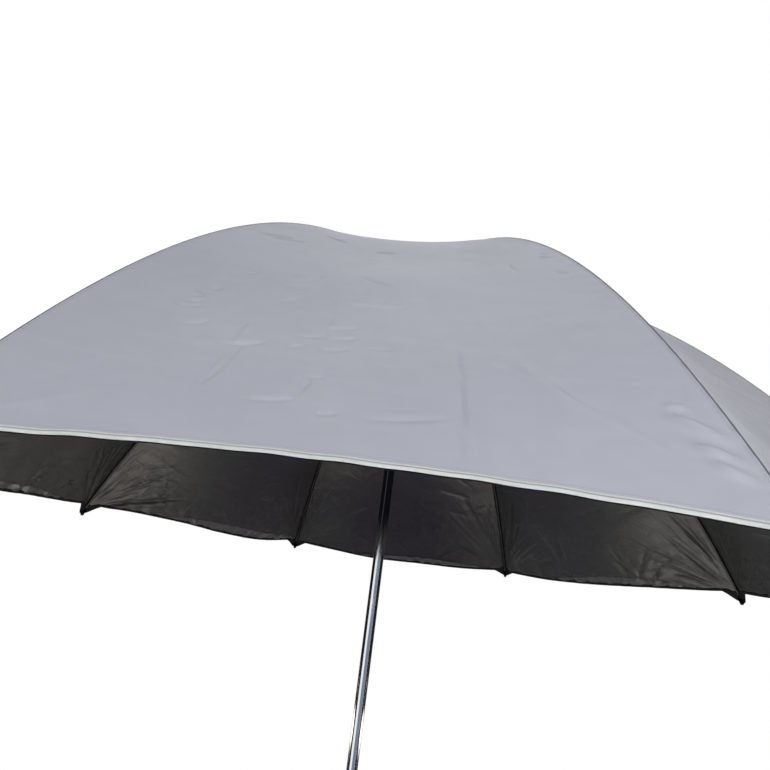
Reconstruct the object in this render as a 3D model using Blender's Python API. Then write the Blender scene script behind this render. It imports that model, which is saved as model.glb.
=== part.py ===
"""A beach umbrella of 2.5 m over the curve: pole, tilt joint, runner, jointed ribs and canopy panels.

Metres, +Z up. The origin is on the pole's axis at the spike's shoulder, and canopy panel 1, between
ribs 8 and 1, faces -Y. The model is the open umbrella.
"""

import math

import bmesh
import bpy
from mathutils import Matrix, Vector
from mathutils.geometry import convex_hull_2d

for old in list(bpy.data.objects):
    bpy.data.objects.remove(old, do_unlink=True)

# Ribs and canopy
RIB_COUNT = 8
RIB_ARC = 1.25  # crown hinge to the canopy's corner, along the rib
JOINT_ARC = 0.518  # crown hinge to the rib joint, along the rib
START_SLOPE = math.radians(11.0)  # below the horizontal, at the crown hinge
END_SLOPE = math.radians(55.1)  # below the horizontal, at the canopy's corner
EVEN_BEND = 0.4  # share of the bend that is alike all along; the rest peaks at the rib joint
ROD_DIAMETER = 0.005
ROD_STEPS = 16
ROD_PAST_CANOPY = 0.012  # inside the tip cap
ARC_STEP = 0.01  # longest straight step when the rib's line is worked out
CLOTH_THICKNESS = 0.0012
CLOTH_ABOVE_ROD = 0.0015  # top of the rod to the cloth's underside, over the rib's own line
CLOTH_LIFT_AT_CROWN = 0.0048
CLOTH_LIFT_LENGTH = 0.12
CLOTH_HOLE_RADIUS = 0.0095
CLOTH_SAG = 0.045  # dip of a panel between two ribs, as a share of their distance
HEM_SAG = 0.028  # the same along the hem, which is held tighter
HEM_SAG_LENGTH = 0.35
FRONT_HEM_RISE = 0.042  # between the front panel's corners, along the cloth
HEM_RISE = 0.006  # the same on the other panels, whose hem band fills the curve
SEAM_GAP = 0.0004
PANEL_STEPS_ACROSS = 6

# Hinge rings of the crown and the runner
HINGE_RADIUS = 0.032
RING_DIAMETER = 0.002
RING_CLEARANCE = 0.0003
RING_SEGMENTS = 3 * RIB_COUNT
EYE_DIAMETER = 0.0088
EYE_THICKNESS = 0.0038
SLOT_CLEARANCE = 0.0004
SLOT_FLOOR_CLEARANCE = 0.0006

# Rib joints
JOINT_DROP = 0.005  # rivet below the rib's axis
JOINT_EYE_DIAMETER = 0.0088
RIVET_DIAMETER = 0.0026
RIVET_CLEARANCE = 0.0004
RIVET_HEAD_DIAMETER = 0.005
RIVET_HEAD_HEIGHT = 0.001
TONGUE_THICKNESS = 0.003
CHEEK_THICKNESS = 0.0014
CHEEK_GAP = 0.0003
CHEEK_HEIGHT_ON_ROD = 0.0036
CHEEK_REACH = 0.012  # how far a tongue or a cheek runs along its rod
INNER_ROD_GAP = 0.006  # rivet to the end of the inner rod
OUTER_ROD_GAP = 0.008  # rivet to the end of the outer rod
STRETCHER_DIAMETER = 0.005
FORK_LENGTH = 0.014  # rivet to the bridge of the stretcher's fork
FORK_BRIDGE = 0.010
FORK_BRIDGE_HEIGHT = 0.0058

# Tip caps
CAP_WALL = 0.0018
CAP_CLEARANCE = 0.0003
CAP_END_WALL = 0.004

# Pole
CROWN_HEIGHT = 2.20  # crown hinges above the spike's shoulder
POLE_DIAMETER = 0.024
POLE_WALL = 0.001
LOWER_DIAMETER = 0.028
LOWER_WALL = 0.0012
LOWER_TOP_BELOW_TILT = 0.25
MIDDLE_OVERLAP = 0.32  # middle tube inside the lower tube
TILT_BELOW_CROWN = 1.33
SEAT_GAP = 0.0003  # between pieces that touch
PLUG_CLEARANCE = 0.0003
PLUG_LENGTH = 0.040
TUBE_RIVET_DIAMETER = 0.0036
TUBE_RIVET_HEAD_DIAMETER = 0.0066
TUBE_RIVET_HEAD_HEIGHT = 0.0010
TUBE_RIVET_FROM_END = 0.020

# Spike
SPIKE_LENGTH = 0.120
SPIKE_POINT_DIAMETER = 0.004
SPIKE_SHANK_LENGTH = 0.030  # shoulder to where the point starts
SPIKE_SHANK_DIAMETER = 0.026  # at its lower end
SHOULDER_DIAMETER = 0.035
SHOULDER_HEIGHT = 0.004

# Height clamp
CLAMP_LENGTH = 0.060
CLAMP_WALL = 0.0045
CLAMP_LIP = 0.012
CLAMP_RUNNING_CLEARANCE = 0.0004
CLAMP_SCREW_BELOW_TOP = 0.022
BOSS_DIAMETER = 0.018
BOSS_LENGTH = 0.012
SCREW_DIAMETER = 0.006
SCREW_CLEARANCE = 0.0004
KNOB_DIAMETER = 0.034
KNOB_LENGTH = 0.014
KNOB_LOBES = 5
KNOB_LOBE_DEPTH = 0.0035
KNOB_STEPS_PER_LOBE = 8

# Tilt joint
TILT_EYE_DIAMETER = 0.021
TILT_TONGUE_THICKNESS = 0.0144
TILT_SIDE_CLEARANCE = 0.0003
TILT_CHEEK_THICKNESS = 0.005
TILT_CLEARANCE = 0.0013  # between the eye's round end and the block or the flange
TILT_FLANGE_DEPTH = 0.018  # tilt axis to the fork's flange
TILT_FLANGE_DIAMETER = 0.034
TILT_FLANGE_HEIGHT = 0.006
BLOCK_DIAMETER = 0.030
BLOCK_HEIGHT = 0.034
BOLT_DIAMETER = 0.006
BOLT_CLEARANCE = 0.0003
BOLT_HEAD_DIAMETER = 0.012
BOLT_HEAD_HEIGHT = 0.004
NUT_DIAMETER = 0.0125
NUT_HEIGHT = 0.005
NUT_SIDES = 6
BOLT_PAST_NUT = 0.0006
BUTTON_DIAMETER = 0.009
BUTTON_CLEARANCE = 0.0003
BUTTON_STANDS_OUT = 0.0035
BUTTON_TRAVEL = 0.0025
BUTTON_IN_BLOCK = 0.006
BUTTON_BELOW_BLOCK_TOP = 0.015
BUTTON_ROUNDING = 0.0011

# Crown hub and runner, from the height of their hinge rings
RIM_PAST_RING = 0.0055
FLANGE_OVER_RING = 0.0042
FLANGE_UNDER_RING = 0.0055
HUB_CONE_RISE = 0.0072
HUB_SLEEVE_WALL = 0.0042
HUB_SLEEVE_LENGTH = 0.030
POLE_TOP_BELOW_RING = 0.004
SPIGOT_DIAMETER = 0.011
SPIGOT_HEIGHT = 0.034
FINIAL_FLANGE_DIAMETER = 0.044
FINIAL_FLANGE_HEIGHT = 0.003
FINIAL_KNOB_DIAMETER = 0.025
FINIAL_NECK_DIAMETER = 0.0155
FINIAL_CONE_RISE = 0.002  # from the flange's edge to the neck
FINIAL_TOP_WALL = 0.006
RUNNER_CLEARANCE = 0.0005
RUNNER_WALL = 0.0040
RUNNER_LENGTH = 0.100
RUNNER_ABOVE_RING = 0.010
RUNNER_GRIP_WALL = 0.0075
RUNNER_GRIP_HEIGHT = 0.014

# Catch below the open runner, modelled pressed in
CATCH_BELOW_RUNNER = 0.003
CATCH_HEIGHT = 0.018
CATCH_WIDTH = 0.006
CATCH_CLEARANCE = 0.0003
CATCH_TRAVEL = 0.004
CATCH_PLATE_THICKNESS = 0.0017
CATCH_PLATE_PAST_NOSE = 0.0025
CATCH_SLOPE = 0.006  # height of the nose's slanted lower end

ROD_SIDES = 6
ROUND_SIDES = 24
SMALL_SIDES = 10
PIN_SIDES = 6
CUT_MARGIN = 0.002  # how far a cutter stands out of what it cuts
SMOOTH_ANGLE = math.radians(35)

FINISHES = {
    "chromed_steel": ((0.62, 0.63, 0.65), 0.16, 1.0),
    "bright_steel": ((0.55, 0.55, 0.56), 0.30, 1.0),
    "black_steel": ((0.030, 0.030, 0.032), 0.40, 0.6),
    "black_plastic": ((0.022, 0.022, 0.024), 0.45, 0.0),
    "silver_cloth": ((0.36, 0.372, 0.41), 0.55, 0.0),
}

RIB_STEP = 2 * math.pi / RIB_COUNT
HALF_STEP = RIB_STEP / 2
ROD_RADIUS = ROD_DIAMETER / 2
POLE_RADIUS = POLE_DIAMETER / 2
POLE_BORE_RADIUS = POLE_RADIUS - POLE_WALL
LOWER_RADIUS = LOWER_DIAMETER / 2
TILT_HEIGHT = CROWN_HEIGHT - TILT_BELOW_CROWN
LOWER_TOP = TILT_HEIGHT - LOWER_TOP_BELOW_TILT


def material(node, finish):
    """Each piece's own material, in one of the object's finishes."""
    colour, roughness, metallic = FINISHES[finish]
    made = bpy.data.materials.new(node)
    made.use_nodes = True
    made.diffuse_color = (*colour, 1.0)
    shader = made.node_tree.nodes["Principled BSDF"]
    shader.inputs["Base Color"].default_value = (*colour, 1.0)
    shader.inputs["Roughness"].default_value = roughness
    shader.inputs["Metallic"].default_value = metallic
    return made


def joint_axis(name, place, turn=0.0, parent=None):
    """An empty on a joint's axis, given in world coordinates and turned about Z, that carries what moves."""
    empty = bpy.data.objects.new(name, None)
    empty.empty_display_size = 0.02
    bpy.context.scene.collection.objects.link(empty)
    world = Matrix.Translation(place) @ Matrix.Rotation(turn, 4, "Z")
    if parent:
        empty.parent = parent
        empty.matrix_parent_inverse = parent.matrix_world.inverted()
    empty.matrix_basis = world
    bpy.context.view_layer.update()
    return empty


def piece(name, mesh, finish, parent):
    """One node: a mesh drawn from its parent's origin."""
    made = bpy.data.objects.new(name, mesh)
    made.parent = parent
    bpy.context.scene.collection.objects.link(made)
    # Pieces may share a mesh, so the material sits on the object
    if not mesh.materials:
        mesh.materials.append(None)
    made.material_slots[0].link = "OBJECT"
    made.material_slots[0].material = material(name, finish)
    return made


def mesh_from(shape):
    """A mesh from a closed bmesh, with its faces turned outwards."""
    bmesh.ops.remove_doubles(shape, verts=shape.verts, dist=1e-7)
    bmesh.ops.recalc_face_normals(shape, faces=shape.faces)
    mesh = bpy.data.meshes.new("shape")
    shape.to_mesh(mesh)
    shape.free()
    return mesh


def turned(profile, sides=ROUND_SIDES, ring=False, start=0.0):
    """A body of revolution about Z. The profile is (radius, height) pairs, closed on itself for a ring."""
    shape = bmesh.new()
    corners = [
        shape.verts.new((radius * math.cos(start), radius * math.sin(start), height))
        for radius, height in profile
    ]
    pairs = list(zip(corners, corners[1:]))
    if ring:
        pairs.append((corners[-1], corners[0]))
    edges = [shape.edges.new(pair) for pair in pairs]
    bmesh.ops.spin(
        shape,
        geom=corners + edges,
        cent=(0, 0, 0),
        axis=(0, 0, 1),
        angle=2 * math.pi,
        steps=sides,
        use_merge=True,
    )
    return mesh_from(shape)


def tube(outer, inner, low, high):
    return turned([(outer, low), (outer, high), (inner, high), (inner, low)], ring=True)


def cylinder(radius, start, end, sides=SMALL_SIDES):
    """A round bar between two points."""
    start = Vector(start)
    along = Vector(end) - start
    mesh = turned([(0, 0), (radius, 0), (radius, along.length), (0, along.length)], sides)
    mesh.transform(Matrix.Translation(start) @ along.to_track_quat("Z", "Y").to_matrix().to_4x4())
    return mesh


def bent_rod(points, radius):
    """A round rod along points of the XZ plane."""
    shape = bmesh.new()
    rings = []
    for number, (x, z) in enumerate(points):
        before = points[max(number - 1, 0)]
        after = points[min(number + 1, len(points) - 1)]
        along = Vector((after[0] - before[0], 0, after[1] - before[1])).normalized()
        across = Vector((0, 1, 0))
        up = along.cross(across)
        ring = []
        for side in range(ROD_SIDES):
            angle = 2 * math.pi * (side + 0.5) / ROD_SIDES
            offset = radius * (math.cos(angle) * across + math.sin(angle) * up)
            ring.append(shape.verts.new(Vector((x, 0, z)) + offset))
        rings.append(ring)
    for near, far in zip(rings, rings[1:]):
        for side in range(ROD_SIDES):
            other = (side + 1) % ROD_SIDES
            shape.faces.new((near[side], near[other], far[other], far[side]))
    shape.faces.new(rings[0])
    shape.faces.new(rings[-1])
    return mesh_from(shape)


def plate(outline, low, high, along="Y"):
    """A plate with its outline in the plane square to Y (x, z) or to X (y, z)."""
    shape = bmesh.new()
    if along == "Y":
        corners = [shape.verts.new((first, low, height)) for first, height in outline]
        lift = (0, high - low, 0)
    else:
        corners = [shape.verts.new((low, first, height)) for first, height in outline]
        lift = (high - low, 0, 0)
    face = shape.faces.new(corners)
    grown = bmesh.ops.extrude_face_region(shape, geom=[face])["geom"]
    far_corners = [item for item in grown if isinstance(item, bmesh.types.BMVert)]
    bmesh.ops.translate(shape, verts=far_corners, vec=lift)
    return mesh_from(shape)


def block(low, high):
    """A box between two corners."""
    outline = [(low[0], low[2]), (high[0], low[2]), (high[0], high[2]), (low[0], high[2])]
    return plate(outline, low[1], high[1])


def circle(centre, radius, sides=SMALL_SIDES):
    turns = [2 * math.pi * side / sides for side in range(sides)]
    return [(centre[0] + radius * math.cos(turn), centre[1] + radius * math.sin(turn)) for turn in turns]


def dome(radius, top, degrees):
    """Profile points of a round end, at angles above its widest level."""
    turns = [math.radians(angle) for angle in degrees]
    return [(radius * math.cos(turn), top - radius * (1 - math.sin(turn))) for turn in turns]


def hull(points):
    return [points[number] for number in convex_hull_2d([Vector(point) for point in points])]


def combined(base, joined=(), cut=()):
    """The base with other meshes joined to it and then some cut from it, shaded smooth."""
    whole = bpy.data.objects.new("whole", base)
    helpers = [whole]
    for operation, meshes in (("UNION", joined), ("DIFFERENCE", cut)):
        for mesh in meshes:
            helper = bpy.data.objects.new("helper", mesh)
            helpers.append(helper)
            step = whole.modifiers.new("step", "BOOLEAN")
            step.operation = operation
            step.solver = "EXACT"
            step.object = helper
    for helper in helpers:
        bpy.context.scene.collection.objects.link(helper)
    result = bpy.data.meshes.new_from_object(whole.evaluated_get(bpy.context.evaluated_depsgraph_get()))
    for helper in helpers:
        bpy.data.objects.remove(helper, do_unlink=True)
    return smooth(result)


def smooth(mesh):
    mesh.shade_smooth()
    mesh.set_sharp_from_angle(angle=SMOOTH_ANGLE)
    return mesh


# The rib's line, in its own upright plane: x outwards and z upwards from the crown hinge


def slope(arc):
    """The rib's slope below the horizontal. It bends most at the rib joint."""
    arc = min(max(arc, 0.0), RIB_ARC)
    if arc < JOINT_ARC:
        peaked = arc**2 / (JOINT_ARC * RIB_ARC)
    else:
        peaked = 1 - (RIB_ARC - arc) ** 2 / ((RIB_ARC - JOINT_ARC) * RIB_ARC)
    share = EVEN_BEND * arc / RIB_ARC + (1 - EVEN_BEND) * peaked
    return START_SLOPE + (END_SLOPE - START_SLOPE) * share


def rib_point(arc):
    """The rib's axis at a length along it, by short straight steps."""
    steps = max(1, math.ceil(abs(arc) / ARC_STEP))
    step = arc / steps
    x = z = 0.0
    for number in range(steps):
        middle = slope((number + 0.5) * step)
        x += step * math.cos(middle)
        z -= step * math.sin(middle)
    return x, z


def beside_rib(arc, height):
    """A point square to the rib's axis, above it where height is positive."""
    x, z = rib_point(arc)
    return x + height * math.sin(slope(arc)), z + height * math.cos(slope(arc))


def rib_line(start, end):
    """Axis points from start to end, at the steps that the canopy's seams share."""
    step = (RIB_ARC - canopy_start()) / ROD_STEPS
    arcs = [canopy_start() + number * step for number in range(ROD_STEPS + 1)]
    inside = [arc for arc in arcs if start + step / 4 < arc < end - step / 4]
    return [rib_point(arc) for arc in [start, *inside, end]]


def canopy_start():
    return -(HINGE_RADIUS - CLOTH_HOLE_RADIUS) / math.cos(START_SLOPE)


RIVET = beside_rib(JOINT_ARC, -JOINT_DROP)
# The stretcher is as long as the crown hinge is far from the rivet, so the runner's ring is as far
# below the rivet as the crown's ring is above it, at every angle of the rib
RUNNER_RING = (0.0, 2 * RIVET[1])
RUNNER_HEIGHT = CROWN_HEIGHT + RUNNER_RING[1]


def eased(share):
    share = min(max(share, 0.0), 1.0)
    return share * share * (3 - 2 * share)


def from_rivet(points):
    return [(x - RIVET[0], z - RIVET[1]) for x, z in points]


def joint_outline(first_arc, second_arc):
    """A rounded eye on the rivet that runs up to its rod between two lengths along the rib."""
    half = CHEEK_HEIGHT_ON_ROD / 2
    on_rod = [beside_rib(arc, height) for arc in (first_arc, second_arc) for height in (-half, half)]
    return hull(circle(RIVET, JOINT_EYE_DIAMETER / 2) + on_rod)


def outer_cheek_start():
    return TONGUE_THICKNESS / 2 + CHEEK_GAP


def stretcher_cheek_start():
    return outer_cheek_start() + CHEEK_THICKNESS + CHEEK_GAP


def rivet_reach():
    return stretcher_cheek_start() + CHEEK_THICKNESS + CHEEK_GAP


def upright_pin(centre, radius, half_length, sides=PIN_SIDES):
    """A round bar square to the rib's plane."""
    x, z = centre
    return cylinder(radius, (x, -half_length, z), (x, half_length, z), sides)


def headed_pin(radius, head_radius, seat, head_height, sides, turn):
    """A rivet with a flat head at each end, turned from Z."""
    end = seat + head_height
    profile = [(0, -end), (head_radius, -end), (head_radius, -seat), (radius, -seat)]
    profile += [(radius, seat), (head_radius, seat), (head_radius, end), (0, end)]
    pin = turned(profile, sides)
    pin.transform(turn)
    return pin


def pair_of_cheeks(outline, start):
    return [
        plate(outline, start, start + CHEEK_THICKNESS),
        plate(outline, -start - CHEEK_THICKNESS, -start),
    ]


def ring_eye(centre):
    """The eye that turns on a hinge ring, and the hole through it."""
    eye = upright_pin(centre, EYE_DIAMETER / 2, EYE_THICKNESS / 2, SMALL_SIDES)
    bore = RING_DIAMETER / 2 + RING_CLEARANCE
    hole = upright_pin(centre, bore, EYE_THICKNESS / 2 + CUT_MARGIN, SMALL_SIDES)
    return eye, hole


def inner_rib_mesh():
    """Crown eye, rod, and the tongue with the joint's rivet, from the crown hinge."""
    rod_end = JOINT_ARC - INNER_ROD_GAP
    rod = bent_rod(rib_line(0.0, rod_end), ROD_RADIUS)
    eye, hole = ring_eye((0, 0))
    tongue = plate(
        joint_outline(rod_end - CHEEK_REACH, rod_end), -TONGUE_THICKNESS / 2, TONGUE_THICKNESS / 2
    )
    rivet = headed_pin(
        RIVET_DIAMETER / 2,
        RIVET_HEAD_DIAMETER / 2,
        rivet_reach(),
        RIVET_HEAD_HEIGHT,
        PIN_SIDES,
        Matrix.Translation((RIVET[0], 0, RIVET[1])) @ Matrix.Rotation(math.pi / 2, 4, "X"),
    )
    return combined(rod, [eye, tongue, rivet], [hole])


def outer_rib_mesh():
    """Two cheeks on the rivet and the rod to the tip, from the rivet."""
    rod_start = JOINT_ARC + OUTER_ROD_GAP
    rod = bent_rod(from_rivet(rib_line(rod_start, RIB_ARC + ROD_PAST_CANOPY)), ROD_RADIUS)
    outline = from_rivet(joint_outline(rod_start, rod_start + CHEEK_REACH))
    cheeks = pair_of_cheeks(outline, outer_cheek_start())
    hole = upright_pin((0, 0), RIVET_DIAMETER / 2 + RIVET_CLEARANCE, rivet_reach())
    return combined(rod, cheeks, [hole])


def stretcher_mesh():
    """Fork on the rivet, rod, and the eye on the runner's ring, from the rivet."""
    far = Vector(RUNNER_RING) - Vector(RIVET)
    along = far.normalized()
    up = Vector((-along.y, along.x))

    def at(distance, height):
        return tuple(along * distance + up * height)

    bridge_end = FORK_LENGTH + FORK_BRIDGE
    half = FORK_BRIDGE_HEIGHT / 2
    corners = [at(distance, height) for distance in (FORK_LENGTH, bridge_end) for height in (-half, half)]
    start = stretcher_cheek_start()
    cheeks = pair_of_cheeks(hull(circle((0, 0), JOINT_EYE_DIAMETER / 2) + corners), start)
    bridge = plate(hull(corners), -start - CHEEK_THICKNESS / 2, start + CHEEK_THICKNESS / 2)
    rod = bent_rod([at(bridge_end - FORK_BRIDGE / 2, 0), at(far.length, 0)], STRETCHER_DIAMETER / 2)
    eye, ring_hole = ring_eye(tuple(far))
    rivet_hole = upright_pin((0, 0), RIVET_DIAMETER / 2 + RIVET_CLEARANCE, rivet_reach())
    return combined(rod, [bridge, *cheeks, eye], [ring_hole, rivet_hole])


def tip_cap_mesh():
    """A cap over the rod's end, just past the canopy's corner, from the rivet."""
    bore = ROD_RADIUS + CAP_CLEARANCE
    outer = bore + CAP_WALL
    bore_end = ROD_PAST_CANOPY + CAP_CLEARANCE
    length = bore_end + CAP_END_WALL
    profile = [(0, bore_end), (bore, bore_end), (bore, SEAT_GAP), (outer, SEAT_GAP)]
    profile += [*dome(outer, length, (0, 35, 65)), (0, length)]
    cap = turned(profile, SMALL_SIDES)
    x, z = from_rivet([rib_point(RIB_ARC)])[0]
    along = Vector((math.cos(END_SLOPE), 0, -math.sin(END_SLOPE)))
    cap.transform(Matrix.Translation((x, 0, z)) @ along.to_track_quat("Z", "Y").to_matrix().to_4x4())
    return smooth(cap)


# Canopy


def cloth_lift(arc):
    return CLOTH_LIFT_AT_CROWN * (1 - eased(arc / CLOTH_LIFT_LENGTH))


def seam_point(arc, depth):
    """The canopy's seam over a rib, as (radius, height) from the crown hinges' centre."""
    height = ROD_RADIUS + CLOTH_ABOVE_ROD + CLOTH_THICKNESS - depth + cloth_lift(arc)
    x, z = beside_rib(arc, height)
    return HINGE_RADIUS + x, z


def panel_point(across, along, depth, hem_rise):
    """A point of a panel whose middle faces +X: across from 0 to 1, along from the crown to the hem."""
    bow = 4 * across * (1 - across)
    arc = canopy_start() + along * (RIB_ARC - canopy_start() - hem_rise * bow)
    radius, height = seam_point(arc, depth)
    steep = math.tan(slope(arc)) / math.cos(HALF_STEP)
    normal = Vector((steep, 0, 1)).normalized()
    hem = eased((arc - RIB_ARC + HEM_SAG_LENGTH) / HEM_SAG_LENGTH)
    sag = (CLOTH_SAG + (HEM_SAG - CLOTH_SAG) * hem) * 2 * radius * math.sin(HALF_STEP) * bow
    middle = radius * math.cos(HALF_STEP)
    half_width = middle * math.tan(HALF_STEP) - SEAM_GAP / 2 / math.cos(HALF_STEP)
    return Vector((middle, (2 * across - 1) * half_width, height)) - sag * normal


def panel_mesh(hem_rise):
    """A thin closed sheet with its two skins, hem and seam edges."""
    shape = bmesh.new()
    skins = []
    for depth in (0.0, CLOTH_THICKNESS):
        skins.append(
            [
                [
                    shape.verts.new(panel_point(i / PANEL_STEPS_ACROSS, j / ROD_STEPS, depth, hem_rise))
                    for i in range(PANEL_STEPS_ACROSS + 1)
                ]
                for j in range(ROD_STEPS + 1)
            ]
        )
    top, under = skins
    for j in range(ROD_STEPS):
        for i in range(PANEL_STEPS_ACROSS):
            for skin in skins:
                shape.faces.new((skin[j][i], skin[j][i + 1], skin[j + 1][i + 1], skin[j + 1][i]))
        for i in (0, PANEL_STEPS_ACROSS):
            shape.faces.new((top[j][i], top[j + 1][i], under[j + 1][i], under[j][i]))
    for j in (0, ROD_STEPS):
        for i in range(PANEL_STEPS_ACROSS):
            shape.faces.new((top[j][i], top[j][i + 1], under[j][i + 1], under[j][i]))
    bmesh.ops.triangulate(shape, faces=shape.faces)
    return smooth(mesh_from(shape))


# Crown and runner


def hinge_ring_mesh(radius):
    """A wire ring whose straight segments lie centred in the slots."""
    profile = circle((HINGE_RADIUS, 0), radius, ROD_SIDES)
    return turned(profile, RING_SEGMENTS, ring=True, start=HALF_STEP + math.pi / RING_SEGMENTS)


def slot_cutters(low, high):
    """One cutter for each rib, open to the rim."""
    floor = HINGE_RADIUS - EYE_DIAMETER / 2 - SLOT_FLOOR_CLEARANCE
    rim = HINGE_RADIUS + RIM_PAST_RING + CUT_MARGIN
    half = ROD_RADIUS + SLOT_CLEARANCE
    cutters = []
    for number in range(RIB_COUNT):
        cutter = block((floor, -half, low), (rim, half, high))
        cutter.transform(Matrix.Rotation(HALF_STEP + number * RIB_STEP, 4, "Z"))
        cutters.append(cutter)
    return cutters


def crown_hub_mesh():
    """Slotted rim on a sleeve over the pole, with a spigot for the finial, from the ring's centre."""
    rim = HINGE_RADIUS + RIM_PAST_RING
    bore = POLE_RADIUS + PLUG_CLEARANCE
    sleeve = bore + HUB_SLEEVE_WALL
    bore_top = SEAT_GAP - POLE_TOP_BELOW_RING
    spigot = SPIGOT_DIAMETER / 2
    profile = [(0, bore_top), (bore, bore_top), (bore, -HUB_SLEEVE_LENGTH), (sleeve, -HUB_SLEEVE_LENGTH)]
    profile += [(sleeve, -FLANGE_UNDER_RING), (rim, -FLANGE_UNDER_RING), (rim, FLANGE_OVER_RING)]
    profile += [(spigot, FLANGE_OVER_RING + HUB_CONE_RISE), (spigot, SPIGOT_HEIGHT), (0, SPIGOT_HEIGHT)]
    groove = hinge_ring_mesh(RING_DIAMETER / 2 + RING_CLEARANCE)
    slots = slot_cutters(-FLANGE_UNDER_RING - CUT_MARGIN, FLANGE_OVER_RING + HUB_CONE_RISE)
    return combined(turned(profile, RING_SEGMENTS), [], [groove, *slots])


def finial_mesh():
    """A domed knob on the spigot, whose flange holds the cloth down, from the ring's centre."""
    bore = SPIGOT_DIAMETER / 2 + PLUG_CLEARANCE
    flange = FINIAL_FLANGE_DIAMETER / 2
    knob = FINIAL_KNOB_DIAMETER / 2

    def seat(radius):
        """The finial's underside, just over the seams, which lie on one cone here."""
        seam_radius, seam_height = seam_point(0.0, 0.0)
        return seam_height + (seam_radius - radius) * math.tan(START_SLOPE) + SEAT_GAP

    bore_end = SPIGOT_HEIGHT + SEAT_GAP
    top = bore_end + FINIAL_TOP_WALL
    flange_top = seat(flange) + FINIAL_FLANGE_HEIGHT
    profile = [(0, bore_end), (bore, bore_end), (bore, seat(bore)), (flange, seat(flange))]
    profile += [(flange, flange_top), (FINIAL_NECK_DIAMETER / 2, flange_top + FINIAL_CONE_RISE)]
    profile += [*dome(knob, top, (-30, 0, 30, 60)), (0, top)]
    return smooth(turned(profile, ROUND_SIDES))


def runner_mesh():
    """Slotted rim on a long sleeve round the pole, with a grip at its foot, from the ring's centre."""
    rim = HINGE_RADIUS + RIM_PAST_RING
    bore = POLE_RADIUS + RUNNER_CLEARANCE
    sleeve = bore + RUNNER_WALL
    grip = bore + RUNNER_GRIP_WALL
    foot = RUNNER_ABOVE_RING - RUNNER_LENGTH
    profile = [(bore, foot), (grip, foot), (grip, foot + RUNNER_GRIP_HEIGHT)]
    profile += [(sleeve, foot + RUNNER_GRIP_HEIGHT + grip - sleeve), (sleeve, -FLANGE_OVER_RING)]
    profile += [(rim, -FLANGE_OVER_RING), (rim, FLANGE_UNDER_RING), (sleeve, FLANGE_UNDER_RING)]
    profile += [(sleeve, RUNNER_ABOVE_RING), (bore, RUNNER_ABOVE_RING)]
    groove = hinge_ring_mesh(RING_DIAMETER / 2 + RING_CLEARANCE)
    slots = slot_cutters(-FLANGE_OVER_RING - CUT_MARGIN, FLANGE_UNDER_RING + CUT_MARGIN)
    return combined(turned(profile, RING_SEGMENTS, ring=True), [], [groove, *slots])


# Tubes and what is riveted into them


def cross_pin(radius, height, reach, low_reach=None):
    """A round bar along X at a height, from -reach, or from low_reach, to reach."""
    start = -reach if low_reach is None else low_reach
    return cylinder(radius, (start, 0, height), (reach, 0, height))


def rivet_hole(height):
    return cross_pin(TUBE_RIVET_DIAMETER / 2 + RIVET_CLEARANCE, height, POLE_RADIUS + CUT_MARGIN)


def tube_rivet_mesh(height):
    """A rivet across the pole with two flat heads."""
    return smooth(
        headed_pin(
            TUBE_RIVET_DIAMETER / 2,
            TUBE_RIVET_HEAD_DIAMETER / 2,
            POLE_RADIUS + SEAT_GAP,
            TUBE_RIVET_HEAD_HEIGHT,
            SMALL_SIDES,
            Matrix.Translation((0, 0, height)) @ Matrix.Rotation(math.pi / 2, 4, "Y"),
        )
    )


def catch_span():
    """Lowest and highest point of the catch's nose, from the crown hinges."""
    top = RUNNER_RING[1] + RUNNER_ABOVE_RING - RUNNER_LENGTH - CATCH_BELOW_RUNNER
    return top - CATCH_HEIGHT, top


def upper_pole_mesh():
    """Tube from the tilt block to the crown hub, with the catch's window, from the crown hinges' centre."""
    low = -TILT_BELOW_CROWN + block_top() + SEAT_GAP
    bottom, top = catch_span()
    half = CATCH_WIDTH / 2 + CATCH_CLEARANCE
    window = block(
        (POLE_BORE_RADIUS - CUT_MARGIN, -half, bottom - CATCH_CLEARANCE),
        (POLE_RADIUS + CUT_MARGIN, half, top + CATCH_CLEARANCE),
    )
    shell = tube(POLE_RADIUS, POLE_BORE_RADIUS, low, -POLE_TOP_BELOW_RING)
    return combined(shell, [], [window, rivet_hole(low + TUBE_RIVET_FROM_END)])


def catch_mesh():
    """A slanted nose on a wider plate that stays inside the tube, from the crown hinges' centre."""
    bottom, top = catch_span()
    half = CATCH_WIDTH / 2
    plate_half = half + CATCH_PLATE_PAST_NOSE
    wall_there = math.sqrt(POLE_BORE_RADIUS**2 - plate_half**2)
    plate_face = wall_there - CATCH_TRAVEL - CATCH_CLEARANCE
    back = plate(
        [
            (plate_face - CATCH_PLATE_THICKNESS, bottom - CATCH_PLATE_PAST_NOSE),
            (plate_face, bottom - CATCH_PLATE_PAST_NOSE),
            (plate_face, top + CATCH_PLATE_PAST_NOSE),
            (plate_face - CATCH_PLATE_THICKNESS, top + CATCH_PLATE_PAST_NOSE),
        ],
        -plate_half,
        plate_half,
    )
    inside = plate_face - CATCH_PLATE_THICKNESS / 2
    flush = POLE_RADIUS
    outline = [(inside, bottom), (flush - CATCH_TRAVEL, bottom), (flush, bottom + CATCH_SLOPE)]
    outline += [(flush, top), (inside, top)]
    return combined(back, [plate(outline, -half, half)])


def block_top():
    return TILT_EYE_DIAMETER / 2 + TILT_CLEARANCE + BLOCK_HEIGHT


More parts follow.
